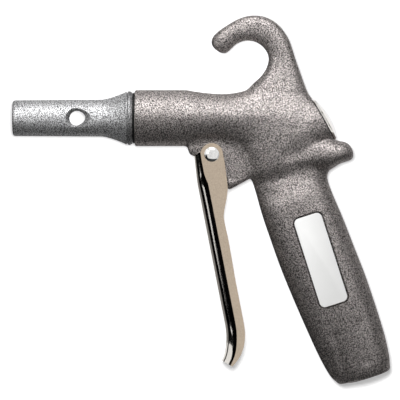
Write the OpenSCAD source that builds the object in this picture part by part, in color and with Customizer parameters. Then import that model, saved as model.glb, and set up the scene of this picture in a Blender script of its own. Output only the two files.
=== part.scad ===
// Pneumatic air duster: pistol-grip safety blow gun with a hanging hook and a squeeze lever.
// Millimetres. X runs back from the nozzle mouth along the barrel, Z is up, Y is the width.
// The origin is the centre of the nozzle mouth.

/* [Nozzle] */
// Outer diameter of the nozzle tube
nozzle_d = 18.4; // [17.4:0.2:19.4]
// Length of the nozzle that shows in front of the casting
nozzle_len = 60.4; // [57:0.2:64]
// Wall of the nozzle tube
nozzle_wall = 3; // [2.4:0.2:3.6]
// Length of the flare behind the tube
flare_len = 13; // [11:0.5:15]
// Width of the rim band behind the flare
rim_len = 3.1; // [2:0.1:4]
// Diameter of the round cross hole
cross_hole_d = 7.8; // [6:0.2:9]
// Distance from the mouth to the centre of the cross hole
cross_hole_x = 31.8; // [29:0.2:34]
// Slant of the air scoop that leads into the cross hole, from square
scoop_slant = 43; // [36:1:48]
// Diameter of the jet opening
jet_d = 4.2; // [3:0.2:5]
// Diameter of the screwed spigot of the nozzle
spigot_d = 20; // [19:0.5:21]
// Length of the screwed spigot
spigot_len = 12; // [10:0.5:14]
// Thickness of the gasket between nozzle and casting
nozzle_gasket_t = 0.5; // [0.4:0.1:0.8]

/* [Casting] */
// Diameter of the barrel
barrel_d = 27.3; // [26.5:0.1:28.5]
// Length of the casting from the barrel end to the rear corner of the grip end
reach = 127.5; // [124:0.5:131]
// Depth of the casting from the barrel axis to the front corner of the grip end
drop = 133.2; // [129:0.5:137]
// Height of the hook above the barrel axis
hook_rise = 50.9; // [48:0.5:54]
// Thickness of the hook, side to side
hook_w = 11; // [9:0.5:12.5]
// Width of the grip, side to side
grip_w = 27.6; // [26.5:0.1:29]
// Lean of the grip from upright
grip_tilt = 17.8; // [16.8:0.2:18.8]
// Diameter of the air passage in the barrel
barrel_bore_d = 14; // [12:0.5:15]
// Diameter of the air passage in the grip
grip_bore_d = 10; // [8:0.5:11]
// Diameter of the screwed inlet hole
inlet_d = 15; // [14:0.2:16]
// Depth of the screwed inlet hole
inlet_depth = 16; // [14:0.5:20]
// Outer diameter of the round inlet boss
inlet_boss_d = 22.4; // [21.4:0.2:23.4]

/* [Lever] */
// Length of the lever along its front edge
lever_len = 102.5; // [98:0.5:106]
// Outer width of the lever channel
lever_w = 18; // [17.6:0.1:19]
// Thickness of the lever's sheet steel
lever_t = 1.5; // [1.2:0.1:1.6]
// Outer bend radius of the lever's front corners
lever_bend_r = 5.4; // [4.4:0.2:5.8]
// Depth of the lever's side flanges at the pivot
flange_depth = 14.8; // [14:0.2:15.6]
// Radius of the lever's eyes round the pivot
eye_r = 5.6; // [5:0.1:6]
// Lean of the lever's long stretch from upright
lever_tilt = 11.1; // [10.6:0.1:11.6]

/* [Pivot] */
// Diameter of the pivot pin
pin_d = 5; // [4:0.2:6]
// Diameter of the pivot pin's domed head
pin_head_d = 7.4; // [6.8:0.2:9]
// Height of the pivot pin's domed head
pin_head_h = 1.7; // [1.2:0.1:2.2]

/* [Valve] */
// Angle of the valve above level
valve_angle = 29.2; // [28.6:0.1:29.8]
// Distance from the cap's seat to the front face of the pivot boss
valve_len = 57.7; // [56.5:0.1:59]
// Diameter of the valve stem
stem_d = 4; // [3.4:0.1:4.6]
// Diameter of the stem bushing
bushing_d = 9.6; // [9:0.1:10.2]
// Length of the stem bushing
bushing_len = 12; // [11:0.5:13]
// Diameter of the valve chamber
chamber_d = 17; // [16:0.2:17.6]
// Diameter of the poppet disc and its seal
poppet_d = 13.2; // [12.6:0.2:13.8]
// Thickness of the poppet disc
poppet_t = 2.5; // [2:0.1:3]
// Thickness of the poppet seal
seal_t = 2.5; // [2:0.1:3]
// Height of the valve seat insert
seat_h = 5.5; // [5:0.1:6.5]
// Diameter of the opening through the valve seat
seat_bore_d = 8.8; // [8.2:0.2:9.4]
// Distance from the cap's seat to the lip of the valve seat
seat_depth = 24.5; // [24:0.1:25.5]
// Diameter of the valve cap
cap_d = 22.8; // [22:0.1:23.6]
// Height of the valve cap above its seat
cap_h = 3.4; // [2.8:0.1:4]
// Width of the valve cap's seat round its screwed part
cap_shoulder = 1.6; // [1.2:0.1:1.9]
// Length of the valve cap's screwed part
cap_thread_len = 8; // [7:0.5:9]
// Wire diameter of the valve spring
spring_wire_d = 1.2; // [0.9:0.1:1.4]
// Number of turns in the valve spring
spring_turns = 5; // [4:1:7]

/* [Label] */
// Length of the bare label
label_len = 46; // [42:0.5:48]
// Width of the bare label
label_w = 14.2; // [12:0.2:15]
// Corner radius of the bare label
label_corner_r = 2.6; // [1.5:0.1:3.5]
// Thickness of the bare label
label_t = 0.4; // [0.3:0.1:0.5]

/* [Fits] */
// Radial clearance of pins and stems that turn or slide
running_gap = 0.05; // [0.02:0.01:0.09]
// Radial clearance of parts that are screwed or pushed in
seated_gap = 0.02; // [0.01:0.01:0.04]
// Clearance at each side of the pivot boss inside the lever
side_gap = 0.3; // [0.2:0.05:0.4]
// Gap between the stem's nose and the lever at rest
nose_gap = 0.1; // [0.05:0.05:0.3]

/* [Hidden] */

// How far a cut runs past the face that it opens
overrun = 1;
round_fn = 96;

body_x = nozzle_len + nozzle_gasket_t;
barrel_r = barrel_d / 2;
// The pivot boss fills the lever's channel, apart from the gap at each side
boss_w = lever_w - 2 * (lever_t + side_gap);
grip_r = grip_w / 2;
hook_r = hook_w / 2;

// Place in the side view, from shares of the casting's reach and drop
function at(x_share, z_share) = [body_x + x_share * reach, z_share * drop];

// Pivot pin, valve cap seat and grip end in the side view
pin_at_share = [0.302, -0.137];
cap_at_share = [0.737, -0.009];
inlet_at_share = [0.917, -0.962];
pin_at = at(pin_at_share[0], pin_at_share[1]);
cap_at = at(cap_at_share[0], cap_at_share[1]);
inlet_at = at(inlet_at_share[0], inlet_at_share[1]);

// Smooth curve through the rows of a table, and the rows that a loft uses along it
function curve(a, b, c, d, t) =
    0.5 * (2 * b + (c - a) * t + (2 * a - 5 * b + 4 * c - d) * t * t + (3 * b - a - 3 * c + d) * t * t * t);
function loft_rows(rows, steps) = let (last = len(rows) - 1)
    [for (i = [0 : last - 1]) for (k = [0 : steps - 1])
        curve(rows[max(i - 1, 0)], rows[i], rows[i + 1], rows[min(i + 2, last)], k / steps),
     rows[last]];

// One ring of a loft: a rounded rectangle whose squareness runs from 2, an ellipse, upwards.
// A row is [end x, end z, other end x, other end z, half width, squareness].
function signed_power(v, power) = sign(v) * pow(abs(v), power);
function ring(row, sides) =
    let (first = [row[0], row[1]], other = [row[2], row[3]])
    let (middle = (first + other) / 2, half = (first - other) / 2, power = 2 / row[5])
    [for (i = [0 : sides - 1])
        let (a = 360 * i / sides)
        let (along = middle + half * signed_power(cos(a), power))
        [along[0], row[4] * signed_power(sin(a), power), along[1]]];

// Solid through rings of points that all have the same number of sides. A folded ring is a strip:
// its first half runs along one side of the metal and its second half back along the other.
module skin(rings, folded = false) {
    sides = len(rings[0]);
    last = len(rings) - 1;
    function strip_end(base, turned) = [for (i = [0 : sides / 2 - 2])
        let (near = [base + i, base + i + 1], far = [base + sides - 1 - i, base + sides - 2 - i])
        each turned ? [[near[0], near[1], far[0]], [near[1], far[1], far[0]]]
                    : [[near[1], near[0], far[0]], [near[1], far[0], far[1]]]];
    walls = [for (j = [0 : last - 1]) for (i = [0 : sides - 1])
        let (k = (i + 1) % sides)
        each [[j * sides + i, j * sides + k, (j + 1) * sides + i],
              [j * sides + k, (j + 1) * sides + k, (j + 1) * sides + i]]];
    ends = folded ? concat(strip_end(0, false), strip_end(last * sides, true))
                  : [[for (i = [sides - 1 : -1 : 0]) i], [for (i = [0 : sides - 1]) last * sides + i]];
    polyhedron([for (r = rings) each r], concat(walls, ends));
}
module loft(rows, steps, sides) skin([for (row = loft_rows(rows, steps)) ring(row, sides)]);

// Frames: +Z out through the valve cap, and +Z up the grip from its inlet
module valve_frame() translate([cap_at[0], 0, cap_at[1]]) rotate([0, 90 - valve_angle, 0]) children();
module grip_frame() translate([inlet_at[0], 0, inlet_at[1]]) rotate([0, -grip_tilt, 0]) children();
module along_x() rotate([0, 90, 0]) children();
module side_plate(width) rotate([90, 0, 0]) linear_extrude(width, center = true) children();

// Ring seal of round section
module o_ring(mid_r, section_r) rotate_extrude($fn = round_fn)
    translate([mid_r, 0]) circle(section_r, $fn = 32);

// Casting: barrel, upper body and grip as one loft.
// Each row gives its top or rear edge, its lower or front edge, its half width and squareness.
body_rows = [
    [0.204 * reach, 0.990 * barrel_r, 0.204 * reach, -0.990 * barrel_r, 0.990 * barrel_r, 2.0],
    [0.286 * reach, 0.885 * barrel_r, 0.274 * reach, -0.890 * barrel_r, 0.980 * barrel_r, 2.0],
    [0.361 * reach, 0.860 * barrel_r, 0.336 * reach, -0.840 * barrel_r, 0.965 * barrel_r, 2.1],
    [0.427 * reach, 0.960 * barrel_r, 0.376 * reach, -0.940 * barrel_r, 0.945 * barrel_r, 2.2],
    [0.502 * reach, 0.118 * drop, 0.400 * reach, -0.108 * drop, 0.925 * barrel_r, 2.3],
    [0.588 * reach, 0.116 * drop, 0.417 * reach, -0.125 * drop, 0.920 * barrel_r, 2.4],
    [0.662 * reach, 0.098 * drop, 0.431 * reach, -0.147 * drop, 0.930 * barrel_r, 2.5],
    [0.721 * reach, 0.047 * drop, 0.441 * reach, -0.172 * drop, 0.940 * barrel_r, 2.6],
    [0.764 * reach, -0.028 * drop, 0.450 * reach, -0.200 * drop, 0.940 * barrel_r, 2.6],
    [0.782 * reach, -0.118 * drop, 0.459 * reach, -0.226 * drop, 0.895 * grip_r, 2.6],
    [0.764 * reach, -0.184 * drop, 0.468 * reach, -0.249 * drop, 0.825 * grip_r, 2.5],
    [0.752 * reach, -0.221 * drop, 0.480 * reach, -0.287 * drop, 0.865 * grip_r, 2.4],
    [0.770 * reach, -0.277 * drop, 0.502 * reach, -0.362 * drop, 0.940 * grip_r, 2.4],
    [0.810 * reach, -0.366 * drop, 0.534 * reach, -0.452 * drop, 0.985 * grip_r, 2.4],
    [0.853 * reach, -0.471 * drop, 0.573 * reach, -0.557 * drop, 1.000 * grip_r, 2.4],
    [0.902 * reach, -0.591 * drop, 0.624 * reach, -0.677 * drop, 0.990 * grip_r, 2.4],
    [0.945 * reach, -0.713 * drop, 0.679 * reach, -0.797 * drop, 0.960 * grip_r, 2.4],
    [0.978 * reach, -0.816 * drop, 0.726 * reach, -0.895 * drop, 0.920 * grip_r, 2.4],
    [0.995 * reach, -0.891 * drop, 0.766 * reach, -0.963 * drop, 0.880 * grip_r, 2.4],
    [0.997 * reach, -0.916 * drop, 0.788 * reach, -0.985 * drop, 0.850 * grip_r, 2.3],
    [0.985 * reach, -0.936 * drop, 0.806 * reach, -0.998 * drop, 0.790 * grip_r, 2.3]];

module rows_from_barrel_end() translate([body_x, 0, 0]) children();

// Hook: inner edge, outer edge, half thickness and squareness, from its root to its tip
hook_rows = [
    [0.404 * reach, 0.134 * hook_rise, 0.694 * reach, 0.134 * hook_rise, 0.770 * barrel_r, 2.8],
    [0.454 * reach, 0.306 * hook_rise, 0.668 * reach, 0.304 * hook_rise, 1.440 * hook_r, 2.8],
    [0.492 * reach, 0.393 * hook_rise, 0.655 * reach, 0.394 * hook_rise, 1.270 * hook_r, 2.8],
    [0.516 * reach, 0.473 * hook_rise, 0.644 * reach, 0.473 * hook_rise, 1.140 * hook_r, 2.8],
    [0.528 * reach, 0.566 * hook_rise, 0.630 * reach, 0.566 * hook_rise, 1.040 * hook_r, 2.8],
    [0.525 * reach, 0.630 * hook_rise, 0.617 * reach, 0.669 * hook_rise, 1.000 * hook_r, 3.0],
    [0.512 * reach, 0.684 * hook_rise, 0.600 * reach, 0.782 * hook_rise, 1.000 * hook_r, 3.0],
    [0.496 * reach, 0.725 * hook_rise, 0.562 * reach, 0.910 * hook_rise, 1.000 * hook_r, 3.0],
    [0.472 * reach, 0.757 * hook_rise, 0.512 * reach, 0.986 * hook_rise, 1.000 * hook_r, 3.0],
    [0.445 * reach, 0.770 * hook_rise, 0.455 * reach, 1.000 * hook_rise, 1.000 * hook_r, 3.0],
    [0.421 * reach, 0.760 * hook_rise, 0.404 * reach, 0.963 * hook_rise, 0.980 * hook_r, 3.0],
    [0.400 * reach, 0.738 * hook_rise, 0.361 * reach, 0.900 * hook_rise, 0.950 * hook_r, 2.8],
    [0.384 * reach, 0.703 * hook_rise, 0.325 * reach, 0.838 * hook_rise, 0.900 * hook_r, 2.6],
    [0.370 * reach, 0.667 * hook_rise, 0.306 * reach, 0.782 * hook_rise, 0.840 * hook_r, 2.4],
    [0.356 * reach, 0.641 * hook_rise, 0.304 * reach, 0.728 * hook_rise, 0.740 * hook_r, 2.3],
    [0.345 * reach, 0.637 * hook_rise, 0.313 * reach, 0.690 * hook_rise, 0.520 * hook_r, 2.1]];

// Thumb web behind the grip: upper edge, lower edge, half width and squareness, to its tip
web_rows = [
    [0.521 * reach, -0.150 * drop, 0.529 * reach, -0.222 * drop, 0.850 * barrel_r, 2.2],
    [0.600 * reach, -0.114 * drop, 0.619 * reach, -0.213 * drop, 0.940 * barrel_r, 2.2],
    [0.680 * reach, -0.079 * drop, 0.704 * reach, -0.203 * drop, 0.975 * barrel_r, 2.2],
    [0.744 * reach, -0.070 * drop, 0.764 * reach, -0.192 * drop, 0.960 * barrel_r, 2.3],
    [0.792 * reach, -0.088 * drop, 0.800 * reach, -0.170 * drop, 0.870 * barrel_r, 2.4],
    [0.823 * reach, -0.091 * drop, 0.829 * reach, -0.161 * drop, 0.760 * barrel_r, 2.3],
    [0.844 * reach, -0.107 * drop, 0.849 * reach, -0.154 * drop, 0.620 * barrel_r, 2.2],
    [0.853 * reach, -0.126 * drop, 0.855 * reach, -0.144 * drop, 0.400 * barrel_r, 2.0]];

// Directions of the valve in the side view: out of the cap, and square to it
out_dir = [cos(valve_angle), sin(valve_angle)];
up_dir = [-sin(valve_angle), cos(valve_angle)];
boss_face_at = cap_at - valve_len * out_dir;
boss_below = 7.2;
boss_run = 10.9;
boss_lobe_r = 6.1;
// Front end of the pivot boss, in shares of the casting's reach and drop
boss_front_shares = [[0.229, -0.1404], [0.218, -0.1336], [0.211, -0.118], [0.211, -0.070]];
boss_root_shares = [[0.455, -0.080], [0.500, -0.190]];

// Cap seat plane and room for the cap
cap_r = cap_d / 2;
cap_thread_d = cap_d - 2 * cap_shoulder;
seat_margin = 0.6;
cap_room = 0.3;
chamber_boss_d = cap_d + 2 * seat_margin;
seat_cut = 2.5 * cap_d;
// Boss round the valve chamber, from its inner end to the seat: depth, half width and squareness
chamber_boss_rows = [for (row = [[0.60, 0.48, 2.6], [0.34, 0.53, 2.7], [0.16, 0.53, 2.5], [0, 0.52, 2.3]])
    let (middle = cap_at - row[0] * valve_len * out_dir, half = chamber_boss_d / 2 * up_dir)
    [each middle + half, each middle - half, row[1] * chamber_boss_d, row[2]]];

// Inner passages
spigot_r = spigot_d / 2;
port_d = 8.4;
bore_end_share = 0.447;
port_depth = 37;
// The cored passage in the grip lies this far behind the inlet's axis
grip_bore_back = 2;
label_at_share = [0.726, -0.531];
label_floor_share = 0.91;
label_rim = 0.35;

// Side grooves that set the round inlet boss off from the front rib of the grip
groove_r = 1.8;
groove_len = 36;
groove_fade = 5.5;

module boss_outline() {
    polygon(concat(
        [for (s = boss_root_shares) at(s[0], s[1])],
        [boss_face_at - boss_below * up_dir + boss_run * out_dir,
         boss_face_at - boss_below * up_dir,
         boss_face_at + 0.4 * boss_below * up_dir,
         pin_at - [0, boss_lobe_r], pin_at],
        [for (s = boss_front_shares) at(s[0], s[1])]));
    translate(pin_at) circle(boss_lobe_r, $fn = round_fn);
}

module barrel() {
    chamfer = 0.4;
    translate([body_x, 0, 0]) along_x() rotate_extrude($fn = round_fn)
        polygon([[0, 0], [barrel_r - chamfer, 0], [barrel_r, chamfer],
                 [barrel_r, 0.210 * reach], [0, 0.210 * reach]]);
}

// Round boss at the grip end, a little proud of the front rib
boss_proud = 1;
boss_chamfer = 1;
module inlet_boss() {
    r = inlet_boss_d / 2;
    rotate_extrude($fn = round_fn)
        polygon([[0, -boss_proud], [r - boss_chamfer, -boss_proud], [r, boss_chamfer - boss_proud],
                 [r, 0.8 * inlet_depth], [0, 0.8 * inlet_depth]]);
}

module casting_form() {
    barrel();
    difference() {
        rows_from_barrel_end() loft(body_rows, 3, 36);
        valve_frame() translate([0, 0, seat_cut / 2]) cube(seat_cut, center = true);
    }
    loft(chamber_boss_rows, 3, 36);
    grip_frame() inlet_boss();
    side_plate(boss_w) boss_outline();
    rows_from_barrel_end() loft(hook_rows, 3, 24);
    rows_from_barrel_end() loft(web_rows, 3, 24);
}

// Label pocket's corner-rounded outline
module label_outline(grow) {
    long = label_len + 2 * grow;
    wide = label_w + 2 * grow;
    r = label_corner_r + grow;
    square([wide - 2 * r, long], center = true);
    square([wide, long - 2 * r], center = true);
    for (x = [-1, 1]) for (z = [-1, 1])
        translate([x * (wide / 2 - r), z * (long / 2 - r)]) circle(r, $fn = 64);
}
module at_label(depth) {
    label_at = at(label_at_share[0], label_at_share[1]);
    translate([label_at[0], -depth, label_at[1]]) rotate([90, -grip_tilt, 0]) children();
}

module bores() {
    bore_end_x = body_x + bore_end_share * reach;
    port_at = cap_at - port_depth * out_dir;
    port_run = [port_at[0] - bore_end_x, port_at[1]];
    // Nozzle socket and barrel passage
    translate([body_x - overrun, 0, 0]) along_x()
        cylinder(r = spigot_r + seated_gap, h = spigot_len + 2 * overrun, $fn = round_fn);
    translate([body_x, 0, 0]) along_x() cylinder(d = barrel_bore_d, h = bore_end_x - body_x, $fn = round_fn);
    // Port from the front of the valve up into the barrel
    translate([bore_end_x, 0, 0]) sphere(d = barrel_bore_d, $fn = round_fn);
    translate([bore_end_x, 0, 0]) rotate([0, atan2(port_run[0], port_run[1]), 0])
        cylinder(d = port_d, h = norm(port_run), $fn = round_fn);
    valve_frame() {
        // Room for the cap above its seat
        cylinder(r = cap_r + cap_room, h = 3 * cap_h, $fn = round_fn);
        // Screwed hole, chamber, front passage and bushing hole, one behind the other
        translate([0, 0, -cap_thread_len - overrun])
            cylinder(d = cap_thread_d + 2 * seated_gap, h = cap_thread_len + 2 * overrun, $fn = round_fn);
        translate([0, 0, -seat_depth - seat_h])
            cylinder(d = chamber_d, h = seat_depth + seat_h, $fn = round_fn);
        translate([0, 0, -valve_len]) cylinder(d = port_d, h = valve_len - seat_depth, $fn = round_fn);
        translate([0, 0, -valve_len - overrun])
            cylinder(d = bushing_d + 2 * seated_gap, h = bushing_len + overrun, $fn = round_fn);
    }
    // Inlet and grip passage
    grip_frame() {
        translate([0, 0, -3 * overrun]) cylinder(d = inlet_d, h = inlet_depth + 3 * overrun, $fn = round_fn);
        translate([grip_bore_back, 0, 0])
            cylinder(d = grip_bore_d, h = 0.905 * drop / cos(grip_tilt), $fn = round_fn);
    }
    // Pivot pin hole
    translate([pin_at[0], 0, pin_at[1]]) rotate([90, 0, 0])
        cylinder(d = pin_d + 2 * running_gap, h = 2 * boss_w, center = true, $fn = round_fn);
}

module body() {
    color([0.50, 0.46, 0.45]) difference() {
        casting_form();
        bores();
        at_label(label_floor_share * grip_r) linear_extrude(grip_r) label_outline(label_rim);
        grip_frame() for (side = [-1, 1])
            translate([-inlet_boss_d / 2 - 0.3 * groove_r, side * 0.8 * grip_r, -2 * overrun])
                rotate([-side * groove_fade, 0, 0]) cylinder(r = groove_r, h = groove_len, $fn = 48);
    }
}

// Nozzle
tube_r = nozzle_d / 2;
nozzle_bore_r = tube_r - nozzle_wall;
rim_step = 0.25;
rim_r = barrel_r - rim_step;
rim_x = nozzle_len - rim_len;
flare_x = rim_x - flare_len;
jet_seat_x = flare_x + 0.45 * flare_len;
jet_flange_t = 3;
jet_nose_len = 0.3 * flare_len;
// The pocket round the jet's nose is this much wider than the bore, and starts this far before it
jet_pocket_step = 0.4;
jet_pocket_room = 0.5;
jet_pocket_r = nozzle_bore_r + jet_pocket_step;
bore_len = jet_seat_x - jet_nose_len - jet_pocket_room;
back_bore_r = spigot_r - nozzle_wall / 1.5;
tip_round = 1.2;
tube_draft = 0.3;
rim_groove = 0.5;
scoop_r = 4.9;
// Along the flare and rise towards the rim, each as a share
flare_steps = 8;
flare_power = 1.45;

module nozzle() {
    outer = concat(
        [for (a = [0 : 15 : 90]) [tube_r - tube_draft - tip_round * (1 - sin(a)), tip_round * (1 - cos(a))]],
        [for (i = [0 : flare_steps]) let (t = i / flare_steps)
            [tube_r + (rim_r - tube_r) * pow(t, flare_power), flare_x + t * flare_len]],
        [[rim_r - rim_groove, rim_x + 0.1 * rim_len], [rim_r, rim_x + 0.2 * rim_len],
         [rim_r, rim_x + 0.65 * rim_len], [rim_r - rim_groove, rim_x + 0.7 * rim_len],
         [rim_r - rim_groove, nozzle_len], [spigot_r, nozzle_len],
         [spigot_r, nozzle_len + spigot_len - overrun], [spigot_r - overrun, nozzle_len + spigot_len]]);
    inner = [[back_bore_r, nozzle_len + spigot_len], [back_bore_r, jet_seat_x],
             [jet_pocket_r, jet_seat_x], [jet_pocket_r, bore_len], [nozzle_bore_r, bore_len],
             [nozzle_bore_r, 0]];
    color([0.75, 0.75, 0.76]) difference() {
        along_x() rotate_extrude($fn = round_fn) polygon(concat(outer, inner));
        translate([cross_hole_x, 0, 0]) rotate([90, 0, 0])
            cylinder(d = cross_hole_d, h = 2 * nozzle_d, center = true, $fn = round_fn);
        for (side = [-1, 1])
            translate([cross_hole_x + 0.12 * cross_hole_d - tube_r * tan(scoop_slant), 0, 0])
                rotate([side * 90, 0, 0]) rotate([0, scoop_slant, 0])
                    translate([0, 0, 0.74 * tube_r / cos(scoop_slant)])
                        cylinder(r = scoop_r, h = nozzle_d, $fn = round_fn);
    }
}

module nozzle_gasket() {
    color([0.10, 0.10, 0.10]) translate([nozzle_len, 0, 0]) along_x() rotate_extrude($fn = round_fn)
        translate([spigot_r + seated_gap, 0])
            square([rim_r - rim_groove - spigot_r - seated_gap, nozzle_gasket_t]);
}

module nozzle_jet() {
    color([0.80, 0.66, 0.34]) translate([jet_seat_x, 0, 0]) along_x() rotate_extrude($fn = round_fn)
        polygon([[jet_d / 2, -jet_nose_len], [0.75 * nozzle_bore_r, -jet_nose_len],
                 [jet_pocket_r - seated_gap, -0.5 * jet_nose_len], [jet_pocket_r - seated_gap, 0],
                 [back_bore_r - seated_gap, 0], [back_bore_r - seated_gap, jet_flange_t],
                 [0.6 * nozzle_bore_r, jet_flange_t], [jet_d / 2, 0]]);
}

// Lever: its front edge is walked down from the top, turning as this table says.
// Each row is a share of the length and a lean from upright.
turn_rows = [[0, 6.5], [0.10, 7.0], [0.15, lever_tilt], [0.82, lever_tilt], [0.88, 1.5], [0.95, -10],
             [1, -28]];
// Depth of the flanges and bend radius, as shares of their largest, by share of the length
depth_shares = [[0, 0.97], [0.05, 1], [0.142, 1], [0.184, 0.97], [0.228, 0.87], [0.284, 0.71], [0.314, 0.65],
                [0.36, 0.645], [0.43, 0.66], [0.53, 0.645], [0.62, 0.63], [0.88, 0.63], [0.92, 0.60],
                [0.95, 0.55], [0.975, 0.47], [1, 0.40]];
bend_shares = [[0, 0.62], [0.10, 0.76], [0.15, 1], [0.95, 1], [1, 0.92]];
lever_steps = 32;
// Top of the lever's front edge from the pivot pin's axis, as shares of the eye radius
lever_top_share = [-1.57, -0.17];

lever_step = lever_len / lever_steps;
lever_path = [for (i = 0, p = pin_at + eye_r * lever_top_share; i <= lever_steps;
    p = p + lever_step * [sin(lookup((i + 0.5) / lever_steps, turn_rows)),
                          -cos(lookup((i + 0.5) / lever_steps, turn_rows))], i = i + 1) p];
function lever_lean(i) = lookup(i / lever_steps, turn_rows);
function lever_point(i, depth) = lever_path[i] + depth * [cos(lever_lean(i)), sin(lever_lean(i))];
function bend_r(i) = lever_bend_r * lookup(i / lever_steps, bend_shares);
function lever_depth(i) = flange_depth * lookup(i / lever_steps, depth_shares);

bend_steps = 5;
// The web's legs lie inside the flange plates by this much, and reach this far behind the bend
leg_inset = 0.02;
leg_share = 0.4;
function web_section(i) =
    let (r = bend_r(i), flat = lever_w / 2 - r - leg_inset, in_r = r - lever_t + 2 * leg_inset)
    let (angles = [for (k = [0 : bend_steps]) 90 * k / bend_steps], leg = leg_share * lever_t)
    let (outer = concat([[r + leg, flat + r]], [for (a = angles) [r - r * sin(a), flat + r * cos(a)]]))
    let (inner = concat([[r + leg, flat + in_r]],
                        [for (a = angles) [r - in_r * sin(a), flat + in_r * cos(a)]]))
    let (last = len(outer) - 1)
    concat([for (p = outer) p],
           [for (k = [last : -1 : 0]) [outer[k][0], -outer[k][1]]],
           [for (p = inner) [p[0], -p[1]]],
           [for (k = [last : -1 : 0]) inner[k]]);
function web_ring(i) = [for (p = web_section(i)) let (q = lever_point(i, p[0])) [q[0], p[1], q[1]]];

module flange_outline() {
    // Starts a little inside the bend, so that plate and web share metal
    polygon(concat([for (i = [0 : lever_steps]) lever_point(i, bend_r(i) - 0.1 * lever_t)],
                   [for (i = [lever_steps : -1 : 0]) lever_point(i, lever_depth(i))]));
    translate(pin_at) circle(eye_r, $fn = round_fn);
}
module lever() {
    color([0.78, 0.76, 0.72]) difference() {
        union() {
            skin([for (i = [0 : lever_steps]) web_ring(i)], folded = true);
            for (side = [-1, 1])
                translate([0, side * (lever_w - lever_t) / 2, 0]) side_plate(lever_t) flange_outline();
        }
        translate([pin_at[0], 0, pin_at[1]]) rotate([90, 0, 0])
            cylinder(d = pin_d + 2 * seated_gap, h = 2 * lever_w, center = true, $fn = round_fn);
    }
}

// Pivot pin: domed head at the near side, push-on retainer at the far side
dome_r = (pin_head_d * pin_head_d / 4 + pin_head_h * pin_head_h) / (2 * pin_head_h);
pin_end = 1.9;
module dome(radius, height, big_r) {
    intersection() {
        translate([0, 0, height - big_r]) sphere(big_r, $fn = round_fn);
        cylinder(r = radius, h = height, $fn = round_fn);
    }
}
module pivot_pin() {
    color([0.85, 0.85, 0.86]) translate([pin_at[0], 0, pin_at[1]]) rotate([90, 0, 0]) {
        translate([0, 0, lever_w / 2]) dome(pin_head_d / 2, pin_head_h, dome_r);
        translate([0, 0, -lever_w / 2 - pin_end]) cylinder(d = pin_d, h = lever_w + pin_end, $fn = round_fn);
    }
}
module pin_retainer() {
    color([0.70, 0.70, 0.72]) translate([pin_at[0], lever_w / 2, pin_at[1]]) rotate([-90, 0, 0])
        rotate_extrude($fn = round_fn)
            polygon([[pin_d / 2 + seated_gap, 0], [0.95 * eye_r, 0], [0.95 * eye_r, 0.2 * pin_end],
                     [0.7 * eye_r, 0.6 * pin_end], [pin_d / 2 + seated_gap, 0.7 * pin_end]]);
}

// Valve stem: its nose reaches the lever's web, its far end carries the poppet and a nut
stem_r = stem_d / 2;
lever_main = round(0.2 * lever_steps);
lever_normal = [cos(lever_tilt), sin(lever_tilt)];
web_inside = lever_point(lever_main, lever_t);
nose_reach = ((cap_at - web_inside) * lever_normal - stem_r - nose_gap) / (out_dir * lever_normal);
shoulder_t = 1.5;
shoulder_r = 0.4 * seat_bore_d;
nut_h = 3;
nut_r = 4;
nut_front = seat_depth - seal_t - poppet_t;
stem_past_nut = 0.8;
stem_back = nut_front - nut_h - stem_past_nut;

module valve_stem() {
    color([0.75, 0.75, 0.74]) valve_frame() {
        translate([0, 0, -nose_reach]) sphere(stem_r, $fn = 64);
        translate([0, 0, -nose_reach]) cylinder(r = stem_r, h = nose_reach - stem_back, $fn = 64);
        translate([0, 0, -seat_depth - shoulder_t]) cylinder(r = shoulder_r, h = shoulder_t, $fn = 64);
    }
}

o_ring_r = 0.9;
small_ring_r = 0.6;
stem_ring_depth = valve_len - 0.72 * bushing_len;
bushing_ring_depth = valve_len - 0.32 * bushing_len;
stem_ring_mid = stem_r + running_gap + o_ring_r;
bushing_ring_mid = bushing_d / 2 - small_ring_r;

module stem_bushing() {
    color([0.80, 0.66, 0.34]) valve_frame() difference() {
        translate([0, 0, -valve_len]) cylinder(d = bushing_d, h = bushing_len, $fn = round_fn);
        translate([0, 0, -valve_len - overrun])
            cylinder(r = stem_r + running_gap, h = bushing_len + 2 * overrun, $fn = round_fn);
        translate([0, 0, -stem_ring_depth - o_ring_r - seated_gap])
            cylinder(r = stem_ring_mid + o_ring_r + seated_gap, h = 2 * (o_ring_r + seated_gap),
                     $fn = round_fn);
        translate([0, 0, -bushing_ring_depth - small_ring_r - seated_gap]) difference() {
            cylinder(d = bushing_d + overrun, h = 2 * (small_ring_r + seated_gap), $fn = round_fn);
            translate([0, 0, -overrun])
                cylinder(r = bushing_ring_mid - small_ring_r - seated_gap, h = 4 * overrun, $fn = round_fn);
        }
    }
}
module stem_o_ring() {
    color([0.09, 0.09, 0.09]) valve_frame() translate([0, 0, -stem_ring_depth])
        o_ring(stem_ring_mid, o_ring_r);
}
module bushing_o_ring() {
    color([0.09, 0.09, 0.09]) valve_frame() translate([0, 0, -bushing_ring_depth])
        o_ring(bushing_ring_mid, small_ring_r);
}

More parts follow.
